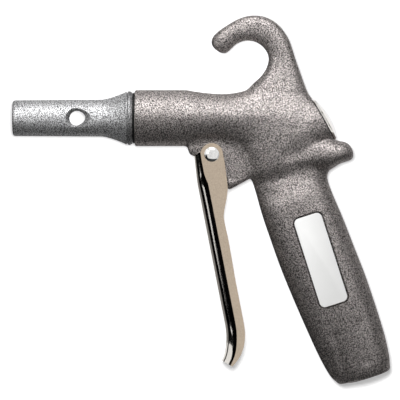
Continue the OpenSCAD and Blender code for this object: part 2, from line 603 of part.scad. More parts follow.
// Valve seat: a ring with a raised lip that the poppet seal closes on
lip_h = 1;
lip_w = 1;
seat_ring_mid = chamber_d / 2 - seated_gap - small_ring_r;
seat_ring_depth = seat_depth + 0.6 * seat_h;
module valve_seat() {
    color([0.80, 0.66, 0.34]) valve_frame() difference() {
        union() {
            translate([0, 0, -seat_depth - seat_h])
                cylinder(r = chamber_d / 2 - seated_gap, h = seat_h - lip_h, $fn = round_fn);
            translate([0, 0, -seat_depth - seat_h])
                cylinder(r = seat_bore_d / 2 + lip_w, h = seat_h, $fn = round_fn);
        }
        translate([0, 0, -seat_depth - seat_h - overrun])
            cylinder(d = seat_bore_d, h = seat_h + 2 * overrun, $fn = round_fn);
        translate([0, 0, -seat_ring_depth - small_ring_r - seated_gap]) difference() {
            cylinder(d = chamber_d + overrun, h = 2 * (small_ring_r + seated_gap), $fn = round_fn);
            translate([0, 0, -overrun])
                cylinder(r = seat_ring_mid - small_ring_r - seated_gap, h = 4 * overrun, $fn = round_fn);
        }
    }
}
module seat_o_ring() {
    color([0.09, 0.09, 0.09]) valve_frame() translate([0, 0, -seat_ring_depth])
        o_ring(seat_ring_mid, small_ring_r);
}

// Poppet stack on the stem, from the seat to the spring
module poppet_seal() {
    color([0.12, 0.12, 0.12]) valve_frame() translate([0, 0, -seat_depth]) difference() {
        cylinder(d = poppet_d, h = seal_t, $fn = round_fn);
        translate([0, 0, -overrun]) cylinder(r = stem_r + seated_gap, h = seal_t + 2 * overrun, $fn = 64);
    }
}
module poppet() {
    color([0.80, 0.66, 0.34]) valve_frame() translate([0, 0, -seat_depth + seal_t]) difference() {
        cylinder(d = poppet_d, h = poppet_t, $fn = round_fn);
        translate([0, 0, -overrun]) cylinder(r = stem_r + seated_gap, h = poppet_t + 2 * overrun, $fn = 64);
    }
}
module stem_nut() {
    color([0.70, 0.70, 0.70]) valve_frame() translate([0, 0, -nut_front]) difference() {
        cylinder(r = nut_r, h = nut_h, $fn = 6);
        translate([0, 0, -overrun]) cylinder(r = stem_r + seated_gap, h = nut_h + 2 * overrun, $fn = 64);
    }
}

// Spring from the poppet disc to the bottom of the cap's hollow
cap_roof_t = 1.2;
spring_mid_r = poppet_d / 2 - spring_wire_d;
spring_wire_r = spring_wire_d / 2;
spring_low = -nut_front + spring_wire_r + seated_gap;
spring_high = -cap_roof_t - spring_wire_r - seated_gap;
spring_turn_steps = 14;
spring_sides = 8;
module valve_spring() {
    steps = spring_turns * spring_turn_steps;
    lead = (spring_high - spring_low) / (spring_turns - 1.5);
    function height(turn) = spring_low + lead * (min(max(turn - 0.75, 0), spring_turns - 1.5));
    color([0.78, 0.78, 0.80]) valve_frame() skin([for (i = [0 : steps])
        let (a = 360 * i / spring_turn_steps, z = height(i / spring_turn_steps))
        [for (k = [0 : spring_sides - 1])
            let (b = 360 * k / spring_sides, r = spring_mid_r + spring_wire_r * cos(b))
            [r * cos(a), r * sin(a), z + spring_wire_r * sin(b)]]]);
}

// Valve cap: screwed plug with a polished dome
cap_gasket_t = 0.4;
cap_flange_t = 1.2;
module valve_cap() {
    dome_h = cap_h - cap_gasket_t - cap_flange_t;
    dome_base_r = cap_r - 0.5 * cap_flange_t;
    big_r = (dome_base_r * dome_base_r + dome_h * dome_h) / (2 * dome_h);
    color([0.88, 0.87, 0.84]) valve_frame() difference() {
        union() {
            translate([0, 0, -cap_thread_len])
                cylinder(d = cap_thread_d, h = cap_thread_len + cap_gasket_t + 0.5 * cap_flange_t,
                         $fn = round_fn);
            translate([0, 0, cap_gasket_t]) cylinder(r = cap_r, h = cap_flange_t, $fn = round_fn);
            translate([0, 0, cap_gasket_t + cap_flange_t]) dome(dome_base_r, dome_h, big_r);
        }
        translate([0, 0, -cap_thread_len - overrun])
            cylinder(r = spring_mid_r + spring_wire_r + 4 * running_gap,
                     h = cap_thread_len + overrun - cap_roof_t, $fn = round_fn);
    }
}
module cap_gasket() {
    color([0.10, 0.10, 0.10]) valve_frame() rotate_extrude($fn = round_fn)
        translate([cap_thread_d / 2 + seated_gap, 0])
            square([cap_r - cap_thread_d / 2 - 2 * seated_gap, cap_gasket_t]);
}

module label_plate() {
    color([0.96, 0.96, 0.95]) at_label(label_floor_share * grip_r) linear_extrude(label_t) label_outline(0);
}

body();
nozzle();
nozzle_gasket();
nozzle_jet();
lever();
pivot_pin();
pin_retainer();
valve_stem();
stem_bushing();
stem_o_ring();
bushing_o_ring();
valve_seat();
seat_o_ring();
poppet();
poppet_seal();
stem_nut();
valve_spring();
valve_cap();
cap_gasket();
label_plate();
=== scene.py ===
# Pistol-grip air gun lying on a white table, photographed from straight above its side.
# Metres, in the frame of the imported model: X runs back along the barrel, Z is up, and the
# camera looks along +Y.
import math

import bpy
import numpy as np
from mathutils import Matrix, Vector

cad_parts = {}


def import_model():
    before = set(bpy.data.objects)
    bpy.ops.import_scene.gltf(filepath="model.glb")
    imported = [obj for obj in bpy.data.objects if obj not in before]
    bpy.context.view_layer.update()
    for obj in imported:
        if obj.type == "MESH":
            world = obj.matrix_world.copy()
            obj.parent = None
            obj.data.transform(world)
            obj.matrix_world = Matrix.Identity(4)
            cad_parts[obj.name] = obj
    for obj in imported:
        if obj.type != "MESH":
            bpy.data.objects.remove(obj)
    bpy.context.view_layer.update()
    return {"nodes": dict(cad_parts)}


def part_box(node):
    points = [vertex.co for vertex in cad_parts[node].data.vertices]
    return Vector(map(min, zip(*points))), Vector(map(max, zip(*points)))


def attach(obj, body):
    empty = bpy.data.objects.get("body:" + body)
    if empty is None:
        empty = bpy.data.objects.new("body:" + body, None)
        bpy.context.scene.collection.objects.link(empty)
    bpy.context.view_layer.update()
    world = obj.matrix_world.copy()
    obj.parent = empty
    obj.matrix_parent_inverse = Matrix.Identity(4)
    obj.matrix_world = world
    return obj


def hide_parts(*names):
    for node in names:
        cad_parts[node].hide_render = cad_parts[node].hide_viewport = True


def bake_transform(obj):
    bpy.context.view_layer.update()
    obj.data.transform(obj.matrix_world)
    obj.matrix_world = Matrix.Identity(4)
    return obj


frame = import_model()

nodes = frame["nodes"]
MM = 0.001
MERGE = 0.001 * MM
OVER = 1 * MM

# The photograph: its width in pixels, the real size of a pixel, and the nozzle mouth's pixel
PHOTO_PX = 400
PX = 0.5 * MM
MOUTH_PX = (12.9, 118.1)

CAMERA_AWAY = 1.6
CAMERA_X = (PHOTO_PX / 2 - MOUTH_PX[0]) * PX
CAMERA_Z = (MOUTH_PX[1] - PHOTO_PX / 2) * PX

# Sizes of the casting, shared by the pieces that meet it
BARREL_R = 13.65 * MM
GRIP_R = 13.8 * MM
BODY_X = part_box("body")[0].x
REACH = 127.5 * MM
DROP = 133.2 * MM
GRIP_TILT = math.radians(17.8)
VALVE_ANGLE = math.radians(29.2)
BOSS_W = 14.4 * MM
LEVER_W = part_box("lever")[1].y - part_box("lever")[0].y
LEVER_T = 1.5 * MM


def at(x_share, z_share):
    """Place in the side view from shares of the casting's reach and drop."""
    return Vector((BODY_X + x_share * REACH, 0, z_share * DROP))


def seen(x, y, nearer):
    """Side-view place of a pixel of the photograph, on a surface this much nearer the camera."""
    scale = PX * (CAMERA_AWAY - nearer) / CAMERA_AWAY
    right = x + 0.5 - PHOTO_PX / 2
    down = y + 0.5 - PHOTO_PX / 2
    return Vector((CAMERA_X + right * scale, 0, CAMERA_Z - down * scale))


PIN_AT = at(0.302, -0.137)
CAP_AT = at(0.737, -0.009)
INLET_AT = at(0.917, -0.962)
LABEL_AT = at(0.726, -0.531)

X_DIR = Vector((1, 0, 0))
Y_DIR = Vector((0, 1, 0))
Z_DIR = Vector((0, 0, 1))
VALVE_OUT = Vector((math.cos(VALVE_ANGLE), 0, math.sin(VALVE_ANGLE)))
VALVE_UP = Vector((-math.sin(VALVE_ANGLE), 0, math.cos(VALVE_ANGLE)))
GRIP_UP = Vector((-math.sin(GRIP_TILT), 0, math.cos(GRIP_TILT)))
GRIP_BACK = Vector((math.cos(GRIP_TILT), 0, math.sin(GRIP_TILT)))


# Modelling helpers

def select_none():
    """Goes back to object mode, with nothing selected."""
    if bpy.context.object and bpy.context.object.mode != "OBJECT":
        bpy.ops.object.mode_set(mode="OBJECT")
    bpy.ops.object.select_all(action="DESELECT")


def only(*objects):
    """Goes back to object mode with nothing but these selected, the last one active."""
    select_none()
    for obj in objects:
        obj.select_set(True)
    bpy.context.view_layer.objects.active = objects[-1]


def merge_points(distance=MERGE):
    """In edit mode, merges points closer than this and leaves everything selected."""
    bpy.ops.mesh.select_all(action="SELECT")
    bpy.ops.mesh.remove_doubles(threshold=distance)
    bpy.ops.mesh.select_all(action="SELECT")


def start_point(name, place):
    """A new mesh of one vertex at place, left in edit mode with the vertex selected."""
    select_none()
    bpy.ops.mesh.primitive_plane_add(size=MM, location=(0, 0, 0))
    obj = bpy.context.object
    obj.name = obj.data.name = name
    bpy.ops.object.mode_set(mode="EDIT")
    bpy.ops.mesh.select_all(action="SELECT")
    bpy.ops.mesh.merge(type="CENTER")
    bpy.ops.transform.translate(value=place)
    return obj


def draw_through(points):
    """Extrudes the selected vertex from the first point through the others."""
    for here, there in zip(points, points[1:]):
        bpy.ops.mesh.extrude_region_move(TRANSFORM_OT_translate={"value": there - here})


def outlined(name, points):
    """A new flat face with this outline, left in edit mode and selected."""
    obj = start_point(name, points[0])
    draw_through(points + [points[0]])
    merge_points()
    bpy.ops.mesh.edge_face_add()
    return obj


def plate_of(name, points, front_y, back_y):
    """A plate between two depths with this outline."""
    obj = outlined(name, [Vector((p.x, front_y, p.z)) for p in points])
    thickness = Vector((0, back_y - front_y, 0))
    bpy.ops.mesh.extrude_region_move(TRANSFORM_OT_translate={"value": thickness})
    bpy.ops.mesh.select_all(action="SELECT")
    bpy.ops.mesh.normals_make_consistent(inside=False)
    bpy.ops.object.mode_set(mode="OBJECT")
    return obj


def lathe(name, profile, centre=Vector((0, 0, 0)), axis=X_DIR, across=Z_DIR, closed=False,
          steps=96):
    """Turns a profile of (along, radius) pairs round an axis through centre."""
    points = [centre + axis * along + across * radius for along, radius in profile]
    obj = start_point(name, points[0])
    draw_through(points)
    if closed:
        draw_through([points[-1], points[0]])
    merge_points()
    bpy.ops.mesh.spin(steps=steps, angle=2 * math.pi, center=centre, axis=axis)
    merge_points()
    bpy.ops.mesh.normals_make_consistent(inside=False)
    bpy.ops.object.mode_set(mode="OBJECT")
    return obj


def rod(name, start, direction, length, radius, sides=64):
    """A plain closed cylinder, used to fill or cut round holes."""
    across = Y_DIR if abs(direction.y) < 0.5 else Z_DIR
    profile = [(0, 0), (0, radius), (length, radius), (length, 0)]
    return lathe(name, profile, start, direction, across, steps=sides)


def joined(objects, name):
    """One object made of these."""
    only(*objects)
    bpy.ops.object.join()
    obj = bpy.context.object
    obj.name = obj.data.name = name
    return obj


def apply_modifier(obj, kind, **settings):
    """Puts one modifier on obj with these settings and applies it."""
    only(obj)
    modifier = obj.modifiers.new(kind.lower(), kind)
    for key, value in settings.items():
        setattr(modifier, key, value)
    bpy.ops.object.modifier_apply(modifier=modifier.name)


def round_edges(obj, width, segments, sharper_than):
    """Rounds the edges that turn by more than this many degrees."""
    apply_modifier(obj, "BEVEL", width=width, segments=segments, limit_method="ANGLE",
                   angle_limit=math.radians(sharper_than))


def cut(obj, *cutters):
    """Takes the cutters out of obj, one after another, and deletes them."""
    for cutter in cutters:
        apply_modifier(obj, "BOOLEAN", operation="DIFFERENCE", object=cutter, solver="MANIFOLD")
        bpy.data.objects.remove(cutter)


def smooth_by_angle(obj, degrees):
    """Shades obj smooth where its faces meet at less than this angle."""
    only(obj)
    bpy.ops.object.shade_smooth_by_angle(angle=math.radians(degrees))


def vectors_of(mesh, key):
    """The places or normals of a mesh's vertices, one row each."""
    values = np.empty(len(mesh.vertices) * 3)
    mesh.vertices.foreach_get(key, values)
    return values.reshape(-1, 3)


def weigh(obj, name, weight_of):
    """Gives obj a vertex group whose weights come from a function of the vertices' places."""
    weights = np.clip(weight_of(vectors_of(obj.data, "co")), 0, 1)
    group = obj.vertex_groups.new(name=name)
    for index, weight in enumerate(weights):
        if weight > 0:
            group.add([index], float(weight), "REPLACE")


def fading(share):
    """1 at share 0, falling smoothly to 0 at share 1 and beyond."""
    return np.where(share < 1, (1 - share ** 2) ** 2, 0)


def near(places, centre, reach):
    """1 at centre, falling smoothly to 0 at reach, in the side view."""
    return fading(np.hypot(places[:, 0] - centre.x, places[:, 2] - centre.z) / reach)


def away_from(places, points):
    """Distance of each place from a line through points, in the side view."""
    nearest = np.full(len(places), np.inf)
    for a, b in zip(points, points[1:]):
        a, b = np.array([a.x, a.z]), np.array([b.x, b.z])
        flat = places[:, [0, 2]] - a
        share = np.clip(flat @ (b - a) / ((b - a) @ (b - a)), 0, 1)
        nearest = np.minimum(nearest, np.hypot(*(flat - share[:, None] * (b - a)).T))
    return nearest


# Materials. Noise scales are in features a metre, and a ramp's stops are (place, tone) pairs.

GRAIN_METALLIC = 0.70
GRAIN_ROUGHNESS = 0.50
GRAIN_ROUGHNESS_SPREAD = 0.08
GRAIN_TONE_PLACES = (0.44, 0.50, 0.56)
GRAIN_TINT = 0.12
GRAIN_TURN = (0.6, 0.4, 0.9)
GRAIN_DEPTH = 0.08 * MM
BLOTCH_SHARE = 0.06
BLOTCH_TONE = 0.92
MACHINED_TONE = 0.58
MACHINED_BLEND = 0.3 * MM
MACHINED_FROM = 57.2 * MM

CLOUD_SCALE = 180
CLOUD_TONE = 0.93
SPECK_SCALE = 1700
SPECK_TONE = 0.88
SCRATCH_SCALE = 700
SCRATCH_STRETCH = (1, 1, 0.2)


def new_material(name):
    """A material with its node tree and its principled shader."""
    material = bpy.data.materials.new(name)
    material.use_nodes = True
    tree = material.node_tree
    shader = next(n for n in tree.nodes if n.type == "BSDF_PRINCIPLED")
    return material, tree, shader


def noise(tree, scale, detail=2, roughness=0.5, stretch=None, turn=None):
    """Noise on the piece's own object coordinates."""
    place = tree.nodes.new("ShaderNodeTexCoord").outputs["Object"]
    texture = tree.nodes.new("ShaderNodeTexNoise")
    texture.inputs["Scale"].default_value = scale
    texture.inputs["Detail"].default_value = detail
    texture.inputs["Roughness"].default_value = roughness
    if stretch or turn:
        mapping = tree.nodes.new("ShaderNodeMapping")
        mapping.inputs["Scale"].default_value = stretch or (1, 1, 1)
        mapping.inputs["Rotation"].default_value = turn or (0, 0, 0)
        tree.links.new(place, mapping.inputs["Vector"])
        place = mapping.outputs["Vector"]
    tree.links.new(place, texture.inputs["Vector"])
    return texture.outputs["Fac"]


def ramp(tree, value, stops):
    """Tones picked by a value, each a grey or a colour."""
    node = tree.nodes.new("ShaderNodeValToRGB")
    while len(node.color_ramp.elements) < len(stops):
        node.color_ramp.elements.new(0.5)
    for element, (place, tone) in zip(node.color_ramp.elements, stops):
        element.position = place
        element.color = (*tone, 1) if isinstance(tone, tuple) else (tone, tone, tone, 1)
    tree.links.new(value, node.inputs["Fac"])
    return node.outputs["Color"]


def multiplied(tree, colour_a, colour_b):
    node = tree.nodes.new("ShaderNodeMix")
    node.data_type = "RGBA"
    node.blend_type = "MULTIPLY"
    node.inputs["Factor"].default_value = 1
    tree.links.new(colour_a, node.inputs["A"])
    tree.links.new(colour_b, node.inputs["B"])
    return node.outputs["Result"]


def bumped(tree, shader, height, strength, distance):
    """Relief on a shader from a height."""
    node = tree.nodes.new("ShaderNodeBump")
    node.inputs["Strength"].default_value = strength
    node.inputs["Distance"].default_value = distance
    tree.links.new(height, node.inputs["Height"])
    tree.links.new(node.outputs["Normal"], shader.inputs["Normal"])


def machined(tree, colour):
    """The colour, darker behind the place along X from where the piece has been machined."""
    coords = tree.nodes.new("ShaderNodeTexCoord")
    split = tree.nodes.new("ShaderNodeSeparateXYZ")
    tree.links.new(coords.outputs["Object"], split.inputs[0])
    share = tree.nodes.new("ShaderNodeMapRange")
    share.inputs["From Min"].default_value = MACHINED_FROM - MACHINED_BLEND
    share.inputs["From Max"].default_value = MACHINED_FROM
    tree.links.new(split.outputs["X"], share.inputs["Value"])
    darker = ramp(tree, share.outputs["Result"], [(0, 1.0), (1, MACHINED_TONE)])
    return multiplied(tree, colour, darker)


def speckled(name, dark, light, grain, has_machined_end=False):
    """A grained metal finish: two tones mixed by fine and coarser noise, and the fine noise
    as relief."""
    material, tree, shader = new_material(name)
    fine = noise(tree, grain, detail=0, turn=GRAIN_TURN)
    middle = tuple((a + b) / 2 for a, b in zip(dark, light))
    tones = ramp(tree, fine, list(zip(GRAIN_TONE_PLACES, (dark, middle, light))))
    coarse = noise(tree, BLOTCH_SHARE * grain, detail=3)
    colour = multiplied(tree, tones, ramp(tree, coarse, [(0.3, BLOTCH_TONE), (0.7, 1.0)]))
    if has_machined_end:
        colour = machined(tree, colour)
    tree.links.new(colour, shader.inputs["Base Color"])
    shader.inputs["Metallic"].default_value = GRAIN_METALLIC
    shader.inputs["Specular Tint"].default_value = (GRAIN_TINT, GRAIN_TINT, GRAIN_TINT, 1)
    rough = ramp(tree, fine, [(0.3, GRAIN_ROUGHNESS + GRAIN_ROUGHNESS_SPREAD),
                              (0.7, GRAIN_ROUGHNESS - GRAIN_ROUGHNESS_SPREAD)])
    tree.links.new(rough, shader.inputs["Roughness"])
    bumped(tree, shader, fine, strength=0.8, distance=GRAIN_DEPTH)
    return material


def polished(name, colour, roughness, haze):
    """Bright plated metal with a faint uneven haze and hair scratches."""
    material, tree, shader = new_material(name)
    clouds = noise(tree, CLOUD_SCALE, detail=4)
    tone = ramp(tree, clouds, [(0.3, tuple(CLOUD_TONE * c for c in colour)), (0.7, colour)])
    fine = noise(tree, SPECK_SCALE, detail=3, roughness=0.7)
    specks = ramp(tree, fine, [(0.36, SPECK_TONE), (0.60, 1.0)])
    tree.links.new(multiplied(tree, tone, specks), shader.inputs["Base Color"])
    shader.inputs["Metallic"].default_value = 1
    rough = ramp(tree, clouds, [(0.3, roughness), (0.75, roughness + haze)])
    tree.links.new(rough, shader.inputs["Roughness"])
    scratches = noise(tree, SCRATCH_SCALE, detail=3, stretch=SCRATCH_STRETCH)
    bumped(tree, shader, scratches, strength=0.12, distance=0.03 * MM)
    return material


def rubber(name):
    material, tree, shader = new_material(name)
    tone = ramp(tree, noise(tree, 900), [(0.3, 0.008), (0.7, 0.02)])
    tree.links.new(tone, shader.inputs["Base Color"])
    shader.inputs["Roughness"].default_value = 0.55
    bumped(tree, shader, noise(tree, 2500), strength=0.3, distance=0.02 * MM)
    return material


def label_film(name):
    material, tree, shader = new_material(name)
    clouds = noise(tree, 60, detail=4)
    tone = ramp(tree, clouds, [(0.3, (0.86, 0.86, 0.85)), (0.7, (0.92, 0.92, 0.91))])
    tree.links.new(tone, shader.inputs["Base Color"])
    shader.inputs["Roughness"].default_value = 0.38
    bumped(tree, shader, noise(tree, 1500), strength=0.1, distance=0.01 * MM)
    return material


COAT = speckled("speckled_grey_coat", dark=(0.06, 0.053, 0.051), light=(0.90, 0.830, 0.806),
                grain=2650)
BLASTED = speckled("blasted_nozzle_metal", dark=(0.16, 0.16, 0.165), light=(0.98, 0.98, 0.99),
                   grain=2550, has_machined_end=True)
NICKEL = polished("bright_lever_plate", (0.80, 0.765, 0.715), roughness=0.07, haze=0.05)
PIN_STEEL = polished("bright_pin_steel", (0.84, 0.83, 0.82), roughness=0.09, haze=0.05)
CAP_METAL = polished("polished_cap_metal", (0.86, 0.83, 0.79), roughness=0.06, haze=0.05)
VALVE_STEEL = polished("turned_valve_steel", (0.62, 0.62, 0.61), roughness=0.22, haze=0.10)
BRASS = polished("turned_brass", (0.70, 0.52, 0.24), roughness=0.20, haze=0.10)
SPRING_STEEL = polished("spring_wire", (0.60, 0.60, 0.62), roughness=0.20, haze=0.08)
RUBBER = rubber("black_seal_rubber")
LABEL = label_film("bare_label_film")


def finish_with(obj, material):
    obj.data.materials.clear()
    obj.data.materials.append(material)


def dress(piece, body, slot, material, *replaced):
    """Gives a new piece its finish and body and hides the CAD nodes it replaces; the slot is not
    used.
    """
    finish_with(piece, material)
    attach(piece, body)
    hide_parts(*replaced)


# Casting: one smooth piece, blended where its forms meet, with its holes and seats cut after that

VOXEL = 0.75 * MM
SKIN_OUT = 0.38 * MM
SMOOTHING = 0.5
BLENDS = [(at(0.44, 0.10), 22 * MM), (at(0.60, 0.13), 26 * MM), (at(0.22, 0), 12 * MM)]
FRONT_CHAMFER = 0.45 * MM
FRONT_SPARE = 6 * MM

# Cap seat: stretched across the casting, so that it also clears the wide sides
CAP_R = 11.4 * MM
CAP_ROOM = 0.3 * MM
SEAT_R = 12.4 * MM
SEAT_STRETCH = 1.3

# Label pocket, with a deeper groove round its floor
LABEL_LONG = 46 * MM
LABEL_WIDE = 14.2 * MM
LABEL_CORNER_R = 2.6 * MM
LABEL_T = 0.4 * MM
LABEL_FLOOR = 0.91 * GRIP_R
LABEL_GAP = 0.85 * MM
GROOVE_IN = 0.7 * MM
GROOVE_DEEP = 2.4 * MM
FLOOR_TOLERANCE = 0.05 * MM

# Round holes: air path, valve chamber, threads and pin
NOZZLE_SEAT_R = 10.02 * MM
NOZZLE_SEAT_DEEP = 13 * MM
AIR_BORE_R = 7 * MM
BORE_END = Vector((BODY_X + 0.447 * REACH, 0, 0))
PORT_R = 4.2 * MM
PORT_AT = CAP_AT - 37 * MM * VALVE_OUT
PORT_LAP = 3 * MM
CAP_HOLE_R = 9.82 * MM
CAP_HOLE_DEEP = 9 * MM
CHAMBER_R = 8.5 * MM
CHAMBER_DEEP = 30 * MM
VALVE_LEN = 57.7 * MM
STEM_ROOM_R = 4.2 * MM
BUSHING_HOLE_R = 4.82 * MM
BUSHING_HOLE_DEEP = 12 * MM
INLET_R = 7.5 * MM
INLET_DEEP = 16 * MM
INLET_PROUD = 1 * MM
PASSAGE_R = 5 * MM
PASSAGE_BACK = 2 * MM
PASSAGE_LEN = 0.905 * DROP / math.cos(GRIP_TILT)
PIN_HOLE_R = 2.55 * MM

# Rings of the inlet's thread
THREAD_PITCH = 1.41 * MM
THREAD_H = 0.55 * MM
THREAD_FROM = 1.2 * MM
THREAD_SPARE = 2 * MM
INLET_CHAMFER = 0.9 * MM
INLET_FLARE = 1.6 * MM


def holes(name, grow, over):
    """Rods for the casting's round holes: grown to fill them, or run past faces to cut them."""
    port = PORT_AT - BORE_END
    mouth = Vector((BODY_X, 0, 0))
    inlet = INLET_AT - INLET_PROUD * GRIP_UP
    plan = [
        (mouth - over * X_DIR, X_DIR, NOZZLE_SEAT_DEEP + over, NOZZLE_SEAT_R),
        (mouth, X_DIR, BORE_END.x - BODY_X, AIR_BORE_R),
        (BORE_END - PORT_LAP * port.normalized(), port.normalized(), port.length + PORT_LAP,
         PORT_R),
        (CAP_AT + over * VALVE_OUT, -VALVE_OUT, CAP_HOLE_DEEP + over, CAP_HOLE_R),
        (CAP_AT, -VALVE_OUT, CHAMBER_DEEP, CHAMBER_R),
        (CAP_AT, -VALVE_OUT, VALVE_LEN, STEM_ROOM_R),
        (CAP_AT - (VALVE_LEN + over) * VALVE_OUT, VALVE_OUT, BUSHING_HOLE_DEEP + over,
         BUSHING_HOLE_R),
        (inlet - over * GRIP_UP, GRIP_UP, INLET_DEEP + INLET_PROUD + over, INLET_R),
        (INLET_AT + PASSAGE_BACK * GRIP_BACK, GRIP_UP, PASSAGE_LEN, PASSAGE_R),
        (PIN_AT - (BOSS_W / 2 + over) * Y_DIR, Y_DIR, BOSS_W + 2 * over, PIN_HOLE_R)]
    return [rod(name, start, way, length, radius + grow) for start, way, length, radius in plan]


def label_outline(grow, corner_steps=8):
    """Corner-rounded outline in the label's plane, as points."""
    half_long = LABEL_LONG / 2 + grow
    half_wide = LABEL_WIDE / 2 + grow
    r = LABEL_CORNER_R + grow
    points = []
    for side_w, side_l, start in [(1, 1, 0), (-1, 1, 90), (-1, -1, 180), (1, -1, 270)]:
        for k in range(corner_steps + 1):
            a = math.radians(start + 90 * k / corner_steps)
            across = side_w * (half_wide - r) + r * math.cos(a)
            along = side_l * (half_long - r) + r * math.sin(a)
            points.append(LABEL_AT + across * GRIP_BACK + along * GRIP_UP)
    return points


def close_label_pocket(obj):
    """Takes the pocket's floor and walls out of the copied casting and bridges the opening."""
    only(obj)
    bpy.ops.object.mode_set(mode="EDIT")
    bpy.ops.mesh.select_all(action="DESELECT")
    bpy.ops.object.mode_set(mode="OBJECT")
    margin = LABEL_GAP + 0.1 * MM
    for face in obj.data.polygons:
        place = face.center - LABEL_AT
        inside = (abs(place.dot(GRIP_UP)) < LABEL_LONG / 2 + margin
                  and abs(place.dot(GRIP_BACK)) < LABEL_WIDE / 2 + margin
                  and face.center.y < -LABEL_FLOOR + FLOOR_TOLERANCE)
        is_floor = abs(face.center.y + LABEL_FLOOR) < FLOOR_TOLERANCE
        is_wall = abs(face.normal.y) < 0.5
        face.select = inside and (is_floor or is_wall)
    bpy.ops.object.mode_set(mode="EDIT")
    bpy.ops.mesh.delete(type="FACE")
    bpy.ops.mesh.select_all(action="DESELECT")
    bpy.ops.mesh.select_mode(type="EDGE")
    bpy.ops.mesh.select_non_manifold(extend=False, use_wire=False, use_multi_face=False,
                                     use_non_contiguous=False, use_verts=False)
    bpy.ops.mesh.fill()
    bpy.ops.mesh.select_mode(type="VERT")
    bpy.ops.object.mode_set(mode="OBJECT")


def casting_blank():
    """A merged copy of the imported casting, its holes filled and its seats left long to cut."""
    blank = bpy.data.objects.new("casting", nodes["body"].data.copy())
    bpy.context.scene.collection.objects.link(blank)
    only(blank)
    bpy.ops.object.mode_set(mode="EDIT")
    merge_points(0.002 * MM)
    bpy.ops.object.mode_set(mode="OBJECT")
    close_label_pocket(blank)
    front = rod("front", Vector((BODY_X - OVER, 0, 0)), X_DIR, 3 * MM, BARREL_R, sides=96)
    seat_start = CAP_AT - 4 * MM * VALVE_OUT
    seat = rod("seat", seat_start, VALVE_OUT, 4 * MM + OVER, CAP_R + CAP_ROOM, sides=96)
    return joined([*holes("fill", 0.4 * MM, 0), front, seat, blank], "casting")


def thread_cutter():
    """Cuts the inlet's grooves: rings of thread, with a chamfer at the mouth."""
    mouth = INLET_AT - INLET_PROUD * GRIP_UP
    turns = int((INLET_DEEP - THREAD_SPARE) / THREAD_PITCH)
    profile = [(-OVER, 0), (-OVER, INLET_R + INLET_FLARE), (0, INLET_R + INLET_CHAMFER),
               (INLET_CHAMFER, INLET_R)]
    for k in range(turns):
        base = THREAD_FROM + k * THREAD_PITCH
        profile += [(base, INLET_R), (base + THREAD_PITCH / 2, INLET_R + THREAD_H)]
    profile += [(THREAD_FROM + turns * THREAD_PITCH, INLET_R), (INLET_DEEP, INLET_R),
                (INLET_DEEP, 0)]
    return lathe("thread", profile, mouth, GRIP_UP, GRIP_BACK, steps=64)


def front_face_cutter():
    """Cuts the barrel's front face flat, with a small chamfer round it."""
    profile = [(-FRONT_SPARE, 0), (0, 0), (0, BARREL_R - FRONT_CHAMFER),
               (FRONT_CHAMFER, BARREL_R), (FRONT_CHAMFER, 2 * BARREL_R),
               (-FRONT_SPARE, 2 * BARREL_R), (-FRONT_SPARE, 0)]
    return lathe("front_face", profile, Vector((BODY_X, 0, 0)))


def cap_seat_cutter():
    seat = rod("cap_seat", CAP_AT, VALVE_OUT, 9 * MM, SEAT_R, sides=96)
    for vertex in seat.data.vertices:
        vertex.co.y *= SEAT_STRETCH
    return seat


def label_pocket_cutters():
    """The pocket down to its floor, and the groove round the floor."""
    pocket = plate_of("pocket", label_outline(LABEL_GAP), -2 * GRIP_R, -LABEL_FLOOR)
    ring = plate_of("pocket_ring", label_outline(LABEL_GAP), -LABEL_FLOOR - 0.5 * MM,
                    -LABEL_FLOOR + GROOVE_DEEP)
    cut(ring, plate_of("ring_hole", label_outline(-GROOVE_IN), -2 * GRIP_R, 0))
    return pocket, ring


# Hollows (+) and rises (-) of the cast sides: line in the photograph's pixels, how far to each
# side of the line it reaches, and depth at the line
STROKES = [
    ([(236, 101), (262, 101), (283, 101), (298, 101)], 8 * MM, 1.0 * MM),
    ([(266, 80), (270, 72), (273, 62)], 5 * MM, -0.5 * MM),
    ([(258, 190), (272, 186), (286, 182), (299, 174), (312, 170), (324, 172)], 11 * MM, 0.9 * MM),
    ([(256, 183), (270, 179), (284, 175), (297, 168), (311, 165), (323, 168)], 4 * MM, 0.4 * MM),
    ([(292, 155), (308, 152), (330, 148)], 7 * MM, 1.1 * MM),
    ([(292, 142), (306, 140), (320, 137), (332, 134)], 4 * MM, 0.3 * MM),
    ([(255, 150), (258, 162), (260, 172)], 5 * MM, -0.5 * MM),
    ([(271, 212), (290, 260), (309, 310), (324, 345)], 9 * MM, -0.9 * MM),
    ([(337, 336), (341, 356), (343, 378)], 4 * MM, 0.7 * MM),
    ([(360, 322), (365, 340), (367, 360)], 4 * MM, 0.45 * MM)]
STROKES_NEARER = 13 * MM

# Upper edge of the flat cheek round the pin, in pixels, and the slope of the wall above it
CHEEK = [(180, 150), (188, 145), (204, 140.5), (219, 139), (232, 144), (239, 150), (243.5, 158),
         (246, 167), (248, 178)]
CHEEK_NEARER = 10 * MM
CHEEK_FRONT = 6 * MM
CHEEK_REACH = 4 * MM
CHEEK_WALL = 3.2


